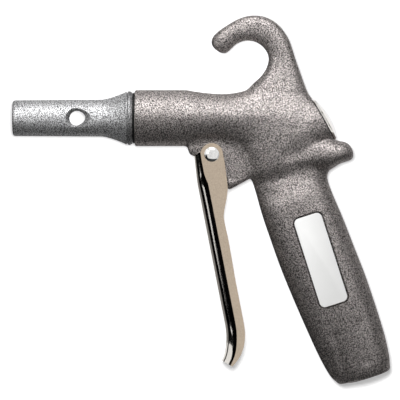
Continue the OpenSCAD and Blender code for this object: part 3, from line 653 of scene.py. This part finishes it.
def side_strokes(body):
    """Moves both sides of the casting in or out along the strokes, and keeps the cheek flat."""
    mesh = body.data
    co = vectors_of(mesh, "co")
    facing = np.clip(np.abs(vectors_of(mesh, "normal")[:, 1]) * 1.6 - 0.3, 0, 1)
    for line, reach, depth in STROKES:
        away = away_from(co, [seen(*p, STROKES_NEARER) for p in line]) / reach
        press = depth * facing * fading(away)
        co[:, 1] -= np.sign(co[:, 1]) * press
    edge = [seen(*p, CHEEK_NEARER) for p in CHEEK]
    edge_z = np.interp(co[:, 0], [p.x for p in edge], [p.z for p in edge])
    below = (co[:, 2] < edge_z) & (co[:, 0] > edge[0].x - CHEEK_FRONT) & (co[:, 0] < edge[-1].x)
    away = np.where(below, 0, away_from(co, edge))
    limit = BOSS_W / 2 + CHEEK_WALL * away
    limited = (co[:, 2] > edge[-1].z - 1 * MM) & (away < CHEEK_REACH)
    co[:, 1] = np.where(limited, np.clip(co[:, 1], -limit, limit), co[:, 1])
    mesh.vertices.foreach_set("co", co.ravel())
    mesh.update()


def casting():
    body = casting_blank()
    apply_modifier(body, "REMESH", mode="VOXEL", voxel_size=VOXEL, adaptivity=0)
    apply_modifier(body, "SMOOTH", factor=SMOOTHING, iterations=14)
    weigh(body, "blends", lambda places: np.maximum.reduce(
        [near(places, centre, reach) for centre, reach in BLENDS]))
    apply_modifier(body, "SMOOTH", factor=SMOOTHING, iterations=40, vertex_group="blends")
    body.vertex_groups.clear()
    apply_modifier(body, "DISPLACE", strength=SKIN_OUT, mid_level=0)
    side_strokes(body)
    apply_modifier(body, "SMOOTH", factor=SMOOTHING, iterations=4)
    cut(body, front_face_cutter())
    cut(body, cap_seat_cutter())
    cut(body, *label_pocket_cutters())
    cut(body, *holes("bore", 0, OVER))
    cut(body, thread_cutter())
    smooth_by_angle(body, 32)
    dress(body, "gun", "body_casting", COAT, "body")
    return body


# Nozzle: turned tube with a flare, a grooved rim and a slanted scoop into the cross hole at
# each side

TUBE_R = 9.2 * MM
TUBE_DRAFT = 0.3 * MM
TIP_ROUND = 1.3 * MM
NOZZLE_LEN = 60.4 * MM
NOZZLE_BORE_R = 6.2 * MM
MOUTH_CHAMFER = 0.5 * MM
FLARE_LEN = 13 * MM
FLARE_POWER = 1.45
SPIGOT_R = 10 * MM
SPIGOT_LEN = 12 * MM
SPIGOT_CHAMFER = 1 * MM
SPIGOT_WALL = 2 * MM

# Machined rim: (distance behind its front, distance below its radius), in millimetres
RIM_R = BARREL_R - 0.25 * MM
RIM_LEN = 3.1 * MM
RIM_PROFILE = [(-0.45, 0.1), (-0.40, 0.8), (0.10, 0.8), (0.20, 0.2), (0.45, 0), (1.50, 0),
               (1.60, 0.25), (2.50, 0.70)]
LIP_FLOOR_FROM = 2.60 * MM
LIP_FLOOR_R = 11.5 * MM

# Cross hole, its mouth as shares of the tube's and the hole's radius, and the slanted scoop
CROSS_R = 3.75 * MM
CROSS_X = 31.8 * MM
CROSS_MOUTH = [(0.5, 0), (0.5, 1), (0.66, 1), (0.74, 1.10), (0.82, 1.22), (0.90, 1.31),
               (1, 1.37), (1.2, 1.45), (1.2, 0)]
SCOOP_R = 4.7 * MM
SCOOP_SLANT = math.radians(43)
SCOOP_BACK = 0.26
SCOOP_START = 0.74


def nozzle_profile():
    """Half section of the nozzle, from its mouth round the outside and back through the bore."""
    rim_x = NOZZLE_LEN - RIM_LEN
    flare_x = rim_x - FLARE_LEN
    jet_x = flare_x + 0.45 * FLARE_LEN
    pocket_x = jet_x - 0.3 * FLARE_LEN - 0.5 * MM
    pocket_r = NOZZLE_BORE_R + 0.4 * MM
    back_bore = SPIGOT_R - SPIGOT_WALL
    end = NOZZLE_LEN + SPIGOT_LEN
    profile = [(MOUTH_CHAMFER, NOZZLE_BORE_R), (0, NOZZLE_BORE_R + MOUTH_CHAMFER)]
    for k in range(9):
        a = math.radians(90 * k / 8)
        profile.append((TIP_ROUND * (1 - math.cos(a)),
                        TUBE_R - TUBE_DRAFT - TIP_ROUND * (1 - math.sin(a))))
    for k in range(14):
        t = k / 14
        profile.append((flare_x + t * FLARE_LEN, TUBE_R + (RIM_R - TUBE_R) * t ** FLARE_POWER))
    profile += [(rim_x + behind * MM, RIM_R - below * MM) for behind, below in RIM_PROFILE]
    profile += [(rim_x + LIP_FLOOR_FROM, LIP_FLOOR_R), (NOZZLE_LEN, LIP_FLOOR_R),
                (NOZZLE_LEN, SPIGOT_R), (end - SPIGOT_CHAMFER, SPIGOT_R),
                (end, SPIGOT_R - SPIGOT_CHAMFER), (end, back_bore), (jet_x, back_bore),
                (jet_x, pocket_r), (pocket_x, pocket_r), (pocket_x, NOZZLE_BORE_R)]
    return profile


def nozzle():
    piece = lathe("nozzle_shell", nozzle_profile(), closed=True, steps=128)
    cross_at = Vector((CROSS_X, 0, 0))
    cross = rod("cross", cross_at - 2 * TUBE_R * Y_DIR, Y_DIR, 4 * TUBE_R, CROSS_R, sides=96)
    mouth = [(along * TUBE_R, radius * CROSS_R) for along, radius in CROSS_MOUTH]
    mouths = [lathe("mouth", mouth, cross_at, side * Y_DIR) for side in (-1, 1)]
    scoops = []
    for side in (-1, 1):
        way = Vector((math.sin(SCOOP_SLANT), side * math.cos(SCOOP_SLANT), 0))
        start_x = CROSS_X + SCOOP_BACK * CROSS_R - TUBE_R * math.tan(SCOOP_SLANT)
        start = Vector((start_x, 0, 0)) + way * SCOOP_START * TUBE_R / math.cos(SCOOP_SLANT)
        scoops.append(rod("scoop", start, way, 2 * TUBE_R, SCOOP_R, sides=96))
    cut(piece, *scoops, *mouths, cross)
    round_edges(piece, 0.12 * MM, 2, sharper_than=32)
    smooth_by_angle(piece, 40)
    dress(piece, "gun", "nozzle_metal", BLASTED, "nozzle")
    return piece


GASKET_R = 12.7 * MM
GASKET_HOLE_R = 10.1 * MM
GASKET_LIP = 0.40 * MM
GASKET_GAP = 0.01 * MM


def gasket():
    """Flat ring between the nozzle and the casting, its lip in the rim's rear groove."""
    start = NOZZLE_LEN - GASKET_LIP
    end = BODY_X - GASKET_GAP
    profile = [(NOZZLE_LEN, GASKET_HOLE_R), (NOZZLE_LEN, LIP_FLOOR_R), (start, LIP_FLOOR_R),
               (start, GASKET_R - 0.4 * MM), (start + 0.2 * MM, GASKET_R - 0.1 * MM),
               (end - 0.35 * MM, GASKET_R), (end - 0.2 * MM, GASKET_R - 0.2 * MM),
               (end, GASKET_R - 0.5 * MM), (end, GASKET_HOLE_R)]
    piece = lathe("nozzle_gasket_ring", profile, closed=True)
    smooth_by_angle(piece, 40)
    dress(piece, "gun", "seal_rubber", RUBBER, "nozzle_gasket")
    return piece


# Lever: pressed channel with round front corners, its side drawn once and given its width.
# The tables run from the top (0) to the tip (1): lean in degrees, share of the flange's
# depth, and share of the bend's radius.

LEVER_LEN = 103.6 * MM
LEVER_TILT = 11.1
LEVER_BEND_R = 5.4 * MM
LEVER_HOLE_R = 2.52 * MM
FLANGE_DEPTH = 14.8 * MM
LEVER_TURNS = [(0, 6.5), (0.10, 7.0), (0.15, LEVER_TILT), (0.82, LEVER_TILT), (0.88, 1.5),
               (0.95, -10), (1, -28)]
LEVER_DEPTHS = [(0, 0.97), (0.05, 1), (0.142, 1), (0.184, 0.97), (0.228, 0.87), (0.284, 0.71),
                (0.314, 0.65), (0.36, 0.645), (0.43, 0.66), (0.53, 0.645), (0.62, 0.63),
                (0.88, 0.63), (0.92, 0.60), (0.95, 0.55), (0.975, 0.47), (1, 0.40)]
LEVER_BENDS = [(0, 0.62), (0.10, 0.76), (0.15, 1), (0.95, 1), (1, 0.92)]
LEVER_STEPS = 64
TOUCHING = 0.01 * MM

# Eye round the pin, and the top of the lever's front edge from the pin
EYE_R = 5.6 * MM
EYE_END = math.radians(165)
EYE_STEPS = 20
LEVER_TOP = PIN_AT + Vector((-1.57 * EYE_R, 0, -0.17 * EYE_R))


def looked_up(share, table):
    return float(np.interp(share, [row[0] for row in table], [row[1] for row in table]))


def lever_sides():
    """Front edge and rear edge of the lever in the side view, from the top down."""
    front, rear = [], []
    place = LEVER_TOP
    step = LEVER_LEN / LEVER_STEPS
    for k in range(LEVER_STEPS + 1):
        lean = math.radians(looked_up(k / LEVER_STEPS, LEVER_TURNS))
        depth = FLANGE_DEPTH * looked_up(k / LEVER_STEPS, LEVER_DEPTHS)
        front.append(place.copy())
        rear.append(place + depth * Vector((math.cos(lean), 0, math.sin(lean))))
        lean = math.radians(looked_up((k + 0.5) / LEVER_STEPS, LEVER_TURNS))
        place = place + step * Vector((math.sin(lean), 0, -math.cos(lean)))
    return front, rear


def lever_outline():
    """Front edge alone, and the outline of a flange: front edge, rear edge and eye."""
    front, rear = lever_sides()
    eye_start = math.atan2(rear[0].z - PIN_AT.z, rear[0].x - PIN_AT.x)
    turn = [eye_start + (EYE_END - eye_start) * k / EYE_STEPS for k in range(EYE_STEPS + 1)]
    eye = [PIN_AT + EYE_R * Vector((math.cos(a), 0, math.sin(a))) for a in turn]
    return front, front + rear[::-1] + eye[1:]


def front_step(place, front):
    """Number of the front edge's point at this place, or None when it isn't on that edge."""
    for k, point in enumerate(front):
        if abs(place.x - point.x) < TOUCHING and abs(place.z - point.z) < TOUCHING:
            return k
    return None


def mark_bends(mesh, steps):
    """Weights the front corners for bending, by the radius that the table gives them."""
    weights = mesh.attributes.new("bevel_weight_edge", "FLOAT", "EDGE")
    for edge in mesh.edges:
        a, b = edge.vertices
        along = steps[a] is not None and steps[b] is not None
        if along and mesh.vertices[a].co.y * mesh.vertices[b].co.y > 0:
            share = (steps[a] + steps[b]) / 2 / LEVER_STEPS
            weights.data[edge.index].value = looked_up(share, LEVER_BENDS)


def mark_open_walls(mesh, steps):
    """Gives the walls that the channel lacks the second material; the front wall stays."""
    for face in mesh.polygons:
        if len(face.vertices) == 4:
            corners = {steps[v] for v in face.vertices}
            on_front = None not in corners and max(corners) - min(corners) == 1
            face.material_index = 0 if on_front else 1


def delete_open_walls(piece):
    only(piece)
    bpy.ops.object.mode_set(mode="EDIT")
    bpy.ops.mesh.select_all(action="DESELECT")
    bpy.ops.object.mode_set(mode="OBJECT")
    for face in piece.data.polygons:
        face.select = face.material_index == 1
    bpy.ops.object.mode_set(mode="EDIT")
    bpy.ops.mesh.select_mode(type="FACE")
    bpy.ops.mesh.delete(type="FACE")
    bpy.ops.mesh.select_mode(type="VERT")
    bpy.ops.object.mode_set(mode="OBJECT")


def lever():
    front, outline = lever_outline()
    piece = plate_of("lever_channel", outline, -LEVER_W / 2, LEVER_W / 2)
    mesh = piece.data
    steps = [front_step(v.co, front) for v in mesh.vertices]
    mark_bends(mesh, steps)
    mark_open_walls(mesh, steps)
    mesh.materials.append(NICKEL)
    mesh.materials.append(RUBBER)
    apply_modifier(piece, "BEVEL", width=LEVER_BEND_R, segments=10, limit_method="WEIGHT",
                   offset_type="OFFSET", material=0, use_clamp_overlap=False)
    delete_open_walls(piece)
    apply_modifier(piece, "SOLIDIFY", thickness=LEVER_T, offset=-1, use_even_offset=True)
    for side in (-1, 1):
        start = PIN_AT + Vector((0, side * (LEVER_W / 2 + OVER), 0))
        cut(piece, rod("pin_hole", start, -side * Y_DIR, 2 * LEVER_T + OVER, LEVER_HOLE_R))
    round_edges(piece, 0.3 * MM, 3, sharper_than=50)
    smooth_by_angle(piece, 35)
    apply_modifier(piece, "WEIGHTED_NORMAL", keep_sharp=True)
    dress(piece, "lever", "plated_steel", NICKEL, "lever")
    return piece


# Pivot pin: a domed head at the near side, its end chamfered behind the push-on retainer

PIN_R = 2.5 * MM
PIN_HEAD_R = 3.7 * MM
PIN_HEAD_H = 1.7 * MM
PIN_DOME_H = 0.6 * PIN_HEAD_H
PIN_END = 1.9 * MM
PIN_CHAMFER = 0.25 * MM


def dome_profile(radius, height, steps, start=0.0):
    """Points of a shallow dome from its top to its edge, as (depth below the top, radius)."""
    big = (radius ** 2 + height ** 2) / (2 * height)
    widest = math.asin(radius / big)
    turn = [widest * k / steps for k in range(steps + 1)]
    return [(start + big * (1 - math.cos(a)), big * math.sin(a)) for a in turn]


def pivot_pin():
    profile = dome_profile(PIN_HEAD_R - 0.15 * MM, PIN_DOME_H, steps=20)
    profile += [(PIN_DOME_H + 0.04 * MM, PIN_HEAD_R - 0.05 * MM),
                (PIN_DOME_H + 0.15 * MM, PIN_HEAD_R),
                (PIN_HEAD_H - 0.5 * PIN_CHAMFER, PIN_HEAD_R),
                (PIN_HEAD_H, PIN_HEAD_R - 0.5 * PIN_CHAMFER), (PIN_HEAD_H, PIN_R)]
    length = PIN_HEAD_H + LEVER_W + PIN_END
    profile += [(length - PIN_CHAMFER, PIN_R), (length, PIN_R - PIN_CHAMFER), (length, 0)]
    top = PIN_AT - (LEVER_W / 2 + PIN_HEAD_H) * Y_DIR
    piece = lathe("pivot_pin_turned", profile, top, Y_DIR)
    smooth_by_angle(piece, 35)
    dress(piece, "lever", "pin_steel", PIN_STEEL, "pivot_pin")
    return piece


RETAINER_R = 0.95 * EYE_R
RETAINER_T = 0.35 * MM
RETAINER_SLOTS = 6
RETAINER_SLOT_R = 0.35 * MM
RETAINER_HOLE_R = PIN_R + 0.03 * MM


def pin_retainer():
    """Push-on washer: a dished ring whose slots leave spring tabs that grip the pin."""
    profile = [(0, 0.62 * RETAINER_R), (0, RETAINER_R), (RETAINER_T, RETAINER_R + 0.02 * MM),
               (0.55 * MM, 0.86 * RETAINER_R), (1.0 * MM, 0.66 * RETAINER_R),
               (1.33 * MM, RETAINER_HOLE_R), (1.0 * MM, RETAINER_HOLE_R),
               (0.72 * MM, 0.60 * RETAINER_R)]
    base = PIN_AT + LEVER_W / 2 * Y_DIR
    piece = lathe("pin_retainer_pressed", profile, base, Y_DIR, closed=True)
    slots = []
    for k in range(RETAINER_SLOTS):
        a = 2 * math.pi * k / RETAINER_SLOTS
        way = Vector((math.cos(a), 0, math.sin(a)))
        start = base + way * 0.85 * PIN_R + 1.0 * MM * Y_DIR
        slots.append(rod("slot", start, way, 0.35 * RETAINER_R, RETAINER_SLOT_R, sides=16))
    cut(piece, *slots)
    smooth_by_angle(piece, 35)
    dress(piece, "lever", "pin_steel", PIN_STEEL, "pin_retainer")


# Valve cap: a screwed plug with a polished dome and a bright rim

CAP_FLANGE_T = 1.2 * MM
CAP_GASKET_T = 0.4 * MM
CAP_H = 3.4 * MM
CAP_EDGE = 0.3 * MM
CAP_THREAD_R = 9.8 * MM
CAP_THREAD_LEN = 8 * MM
CAP_THREAD_CHAMFER = 0.6 * MM
CAP_HOLLOW_R = 6.2 * MM
CAP_ROOF_T = 1.2 * MM


def valve_cap():
    dome_h = CAP_H - CAP_GASKET_T - CAP_FLANGE_T
    dome_r = CAP_R - 0.5 * CAP_FLANGE_T
    rim = -CAP_GASKET_T - CAP_FLANGE_T
    profile = dome_profile(dome_r, dome_h, steps=28, start=-CAP_H)
    profile += [(rim + 0.02 * MM, CAP_R - 1.1 * CAP_EDGE),
                (rim + 0.3 * CAP_EDGE, CAP_R - 0.3 * CAP_EDGE), (rim + CAP_EDGE, CAP_R),
                (-CAP_GASKET_T - 0.5 * CAP_EDGE, CAP_R),
                (-CAP_GASKET_T, CAP_R - 0.5 * CAP_EDGE), (-CAP_GASKET_T, CAP_THREAD_R),
                (CAP_THREAD_LEN - CAP_THREAD_CHAMFER, CAP_THREAD_R),
                (CAP_THREAD_LEN, CAP_THREAD_R - CAP_THREAD_CHAMFER),
                (CAP_THREAD_LEN, CAP_HOLLOW_R), (CAP_ROOF_T, CAP_HOLLOW_R), (CAP_ROOF_T, 0)]
    piece = lathe("valve_cap_polished", profile, CAP_AT, -VALVE_OUT, Y_DIR, steps=128)
    smooth_by_angle(piece, 28)
    dress(piece, "gun", "cap_metal", CAP_METAL, "valve_cap")
    return piece


def label_plate():
    top = -LABEL_FLOOR - LABEL_T
    piece = plate_of("bare_label_plate", label_outline(0), top, -LABEL_FLOOR)
    round_edges(piece, 0.1 * MM, 3, sharper_than=60)
    smooth_by_angle(piece, 30)
    dress(piece, "gun", "label", LABEL, "label_plate")
    return piece


# Valve spring: a coil with flat ends. Low and high are
# its wire's end places along the valve, from the cap's seat.

SPRING_TURNS = 5
SPRING_FLAT_TURNS = 0.75
SPRING_STEPS = 24
SPRING_R = 5.4 * MM
SPRING_WIRE_R = 0.6 * MM
SPRING_LOW = -18.88 * MM
SPRING_HIGH = -1.82 * MM


def spring_point(turn):
    """Middle of the wire after this many turns."""
    free_turns = SPRING_TURNS - 2 * SPRING_FLAT_TURNS
    share = min(max(turn - SPRING_FLAT_TURNS, 0) / free_turns, 1)
    height = SPRING_LOW + (SPRING_HIGH - SPRING_LOW) * share
    a = 2 * math.pi * turn
    out = SPRING_R * (math.cos(a) * VALVE_UP + math.sin(a) * Y_DIR)
    return CAP_AT + height * VALVE_OUT + out


def valve_spring():
    points = [spring_point(k / SPRING_STEPS) for k in range(SPRING_TURNS * SPRING_STEPS + 1)]
    coil = start_point("valve_spring_coil", points[0])
    draw_through(points)
    only(coil)
    bpy.ops.object.convert(target="CURVE")
    wire = bpy.context.object.data
    wire.bevel_depth = SPRING_WIRE_R
    wire.bevel_resolution = 3
    wire.use_fill_caps = True
    bpy.ops.object.convert(target="MESH")
    piece = bpy.context.object
    smooth_by_angle(piece, 40)
    finish_with(piece, SPRING_STEEL)
    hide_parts("valve_spring")
    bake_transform(piece)


valve_spring()
casting_piece = casting()
nozzle_piece = nozzle()
gasket_piece = gasket()
lever_piece = lever()
pin_piece = pivot_pin()
pin_retainer()
cap_piece = valve_cap()
label_piece = label_plate()

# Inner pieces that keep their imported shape
for material, names in [
        (RUBBER, ["stem_o_ring", "bushing_o_ring", "seat_o_ring", "poppet_seal", "cap_gasket"]),
        (BRASS, ["nozzle_jet", "stem_bushing", "valve_seat", "poppet"]),
        (VALVE_STEEL, ["valve_stem", "stem_nut"])]:
    for node_name in names:
        finish_with(nodes[node_name], material)


# Camera: straight at the side, framed as the photograph

SENSOR_MM = 36


def camera():
    data = bpy.data.cameras.new("camera")
    obj = bpy.data.objects.new("camera", data)
    bpy.context.scene.collection.objects.link(obj)
    obj.location = (CAMERA_X, -CAMERA_AWAY, CAMERA_Z)
    obj.rotation_euler = (math.pi / 2, 0, 0)
    data.sensor_width = SENSOR_MM
    data.lens = SENSOR_MM * CAMERA_AWAY / (PHOTO_PX * PX)
    data.clip_start = 0.05
    bpy.context.scene.camera = obj


camera()
bpy.context.scene.view_settings.view_transform = "Standard"


# Background: a white world and a white table

MIDDLE = Vector((0.094, 0, -0.04))
WHITE = (1, 1, 1)
ROOM_GREY = 0.06
BACKGROUND_FROM = 0.45
BACKGROUND_FULL = 0.68
TABLE_Y = 14.2 * MM
TABLE_SIZE = 4
TABLE_GLOW = 0.42
TABLE_GREY = 0.8


def world():
    """White to the camera. Metal and glass also see white behind the gun, and a dim room in
    front of it."""
    made = bpy.data.worlds.new("studio")
    bpy.context.scene.world = made
    made.use_nodes = True
    tree = made.node_tree
    tree.nodes.clear()
    out = tree.nodes.new("ShaderNodeOutputWorld")
    white = tree.nodes.new("ShaderNodeBackground")
    white.inputs["Color"].default_value = (*WHITE, 1)
    room = tree.nodes.new("ShaderNodeBackground")
    room.inputs["Color"].default_value = (ROOM_GREY, ROOM_GREY, ROOM_GREY, 1)
    coords = tree.nodes.new("ShaderNodeTexCoord")
    way = tree.nodes.new("ShaderNodeSeparateXYZ")
    tree.links.new(coords.outputs["Generated"], way.inputs[0])
    behind = tree.nodes.new("ShaderNodeMapRange")
    behind.inputs["From Min"].default_value = BACKGROUND_FROM
    behind.inputs["From Max"].default_value = BACKGROUND_FULL
    tree.links.new(way.outputs["Y"], behind.inputs["Value"])
    paths = tree.nodes.new("ShaderNodeLightPath")

    def combined(kind, a, b):
        node = tree.nodes.new("ShaderNodeMath")
        node.operation = kind
        tree.links.new(a, node.inputs[0])
        tree.links.new(b, node.inputs[1])
        return node.outputs[0]

    shown = combined("MULTIPLY", paths.outputs["Is Glossy Ray"], behind.outputs["Result"])
    shown = combined("MAXIMUM", shown, paths.outputs["Is Transmission Ray"])
    shown = combined("MAXIMUM", shown, paths.outputs["Is Camera Ray"])
    mix = tree.nodes.new("ShaderNodeMixShader")
    tree.links.new(shown, mix.inputs[0])
    tree.links.new(room.outputs[0], mix.inputs[1])
    tree.links.new(white.outputs[0], mix.inputs[2])
    tree.links.new(mix.outputs[0], out.inputs["Surface"])


def table_material():
    """Glowing white paper, clear from behind so that no view is blocked."""
    material = bpy.data.materials.new("white_table")
    material.use_nodes = True
    tree = material.node_tree
    tree.nodes.clear()
    out = tree.nodes.new("ShaderNodeOutputMaterial")
    glow = tree.nodes.new("ShaderNodeEmission")
    glow.inputs["Strength"].default_value = TABLE_GLOW
    paper = tree.nodes.new("ShaderNodeBsdfDiffuse")
    paper.inputs["Color"].default_value = (TABLE_GREY, TABLE_GREY, TABLE_GREY, 1)
    both = tree.nodes.new("ShaderNodeAddShader")
    tree.links.new(glow.outputs[0], both.inputs[0])
    tree.links.new(paper.outputs[0], both.inputs[1])
    clear = tree.nodes.new("ShaderNodeBsdfTransparent")
    sides = tree.nodes.new("ShaderNodeNewGeometry")
    mix = tree.nodes.new("ShaderNodeMixShader")
    tree.links.new(sides.outputs["Backfacing"], mix.inputs[0])
    tree.links.new(both.outputs[0], mix.inputs[1])
    tree.links.new(clear.outputs[0], mix.inputs[2])
    tree.links.new(mix.outputs[0], out.inputs["Surface"])
    return material


def table():
    """The white table that the gun lies on, upright in this frame."""
    select_none()
    bpy.ops.mesh.primitive_plane_add(size=TABLE_SIZE, location=(MIDDLE.x, TABLE_Y, MIDDLE.z),
                                     rotation=(math.pi / 2, 0, 0))
    obj = bpy.context.object
    obj.name = "white_table"
    finish_with(obj, table_material())
    obj.visible_diffuse = obj.visible_glossy = False
    obj.visible_shadow = obj.visible_transmission = False
    return obj


world()
white_table = table()


# Light: soft lamps that each light only their own pieces, and a low one for the table's shadow.
# Places round the gun are (azimuth, elevation) in degrees: left of the camera, and up.

BOX = (0.30, 0.30)
LAMP_AWAY = 0.45


def only_for(light, *pieces):
    """Keeps a lamp's or glowing card's light to these pieces."""
    receivers = bpy.data.collections.new(light.name + "_for")
    for piece in pieces:
        receivers.objects.link(piece)
    light.light_linking.receiver_collection = receivers


def direction(azimuth, elevation):
    """Unit vector from the gun to this place round it."""
    az = math.radians(azimuth)
    el = math.radians(elevation)
    return Vector((-math.sin(az) * math.cos(el), -math.cos(az) * math.cos(el), math.sin(el)))


def lamp_for(pieces, name, azimuth, elevation, size, power, away=LAMP_AWAY, target=MIDDLE):
    """A soft lamp that the camera doesn't see, turned to the target, for these pieces only."""
    data = bpy.data.lights.new(name, "AREA")
    data.shape = "RECTANGLE"
    data.size, data.size_y = size
    data.energy = power
    lamp = bpy.data.objects.new(name, data)
    bpy.context.scene.collection.objects.link(lamp)
    place = target + away * direction(azimuth, elevation)
    lamp.location = place
    lamp.rotation_mode = "QUATERNION"
    lamp.rotation_quaternion = (target - place).to_track_quat("-Z", "Y")
    lamp.visible_camera = False
    only_for(lamp, *pieces)


metal = [casting_piece, nozzle_piece, gasket_piece]
lamp_for(metal, "long_box", 0, 50, (0.64, 0.30), 1.40)
lamp_for(metal, "top_box", 0, 82, BOX, 0.34)
lamp_for(metal, "front_fill", 0, 23, BOX, 0.19)
lamp_for(metal, "left_fill", 40, 15, BOX, 0.16)
lamp_for(metal, "far_left_fill", 75, 8, (0.30, 0.40), 0.12)
lamp_for(metal, "right_fill", -40, 15, BOX, 0.18)
lamp_for([nozzle_piece], "nozzle_box", -35, 50, BOX, 0.70)
lamp_for([nozzle_piece], "nozzle_fill", 20, 5, BOX, 0.28)
lamp_for([white_table], "shadow_lamp", 1, 4, (0.13, 0.13), 7.5, away=0.8)
lamp_for([label_piece], "label_lamp", 12, 20, BOX, 4.5, away=0.7, target=LABEL_AT)
lamp_for([pin_piece], "pin_lamp", -8, 12, (1.0, 1.0), 2.8, away=0.40, target=PIN_AT)
lamp_for([cap_piece], "cap_lamp", 0, 0, (0.7, 0.7), 1.15, target=CAP_AT)
lamp_for([cap_piece], "cap_top_lamp", 61, 57, (0.7, 0.7), 1.2, target=CAP_AT)
lamp_for([cap_piece], "cap_low_lamp", -61, -57, (0.5, 0.5), 0.7, target=CAP_AT)


# Cards: black and glowing ones that the bright lever and pin reflect, nearer than the flags
# that stand behind them

FLAG_AWAY = 2.4
CARD_AWAY = 1.5
NEAR_CARD_AWAY = 1.2


def card_material(name, glow):
    """Matt black, or glowing in a colour."""
    material, _, shader = new_material(name)
    shader.inputs["Base Color"].default_value = (0, 0, 0, 1)
    shader.inputs["Roughness"].default_value = 1
    shader.inputs["Specular IOR Level"].default_value = 0
    if glow:
        shader.inputs["Emission Color"].default_value = (*glow, 1)
        shader.inputs["Emission Strength"].default_value = 1
    return material


def card(name, corners, away, glow=None):
    """A card round the gun where a bright metal face reflects it, hidden from the camera."""
    obj = outlined(name, [MIDDLE + away * direction(*corner) for corner in corners])
    bpy.ops.object.mode_set(mode="OBJECT")
    finish_with(obj, card_material(name, glow))
    obj.visible_camera = False
    obj.visible_shadow = False
    return obj


card("near_left_flag", [(4, -40), (50, -40), (50, 30), (4, 30)], FLAG_AWAY)
card("far_left_flag", [(50, -40), (104, -40), (104, 30), (50, 30)], FLAG_AWAY)
room_card = card("room_card", [(-7, -24), (3, -24), (3, 24), (-7, 24)], NEAR_CARD_AWAY,
                 (0.66, 0.57, 0.475))
line_card = card("line_card", [(52, -7.6), (57, -7.6), (62, -9.1), (66, -10.8), (70.5, -12.4),
                               (68, -13.4), (67, -13.4), (63.5, -12.4), (55, -10.8), (48, -9.1)],
                 CARD_AWAY, WHITE)
tip_card = card("tip_card", [(46, -1), (98, -1.5), (98, 32), (22, 32), (26, 8)], CARD_AWAY, WHITE)
top_card = card("top_card", [(-30, 38), (30, 38), (30, 75), (-30, 75)], NEAR_CARD_AWAY, WHITE)
blob_card = card("blob_card", [(120, -2.3), (172, -2.3), (172, 25), (120, 25)], CARD_AWAY, WHITE)
side_card = card("side_card", [(112, -35), (172, -35), (172, -2.6), (112, -2.6)], CARD_AWAY,
                 (0.30, 0.29, 0.28))
only_for(room_card, lever_piece)
for glowing in (line_card, tip_card, top_card, blob_card, side_card):
    only_for(glowing, lever_piece, pin_piece)
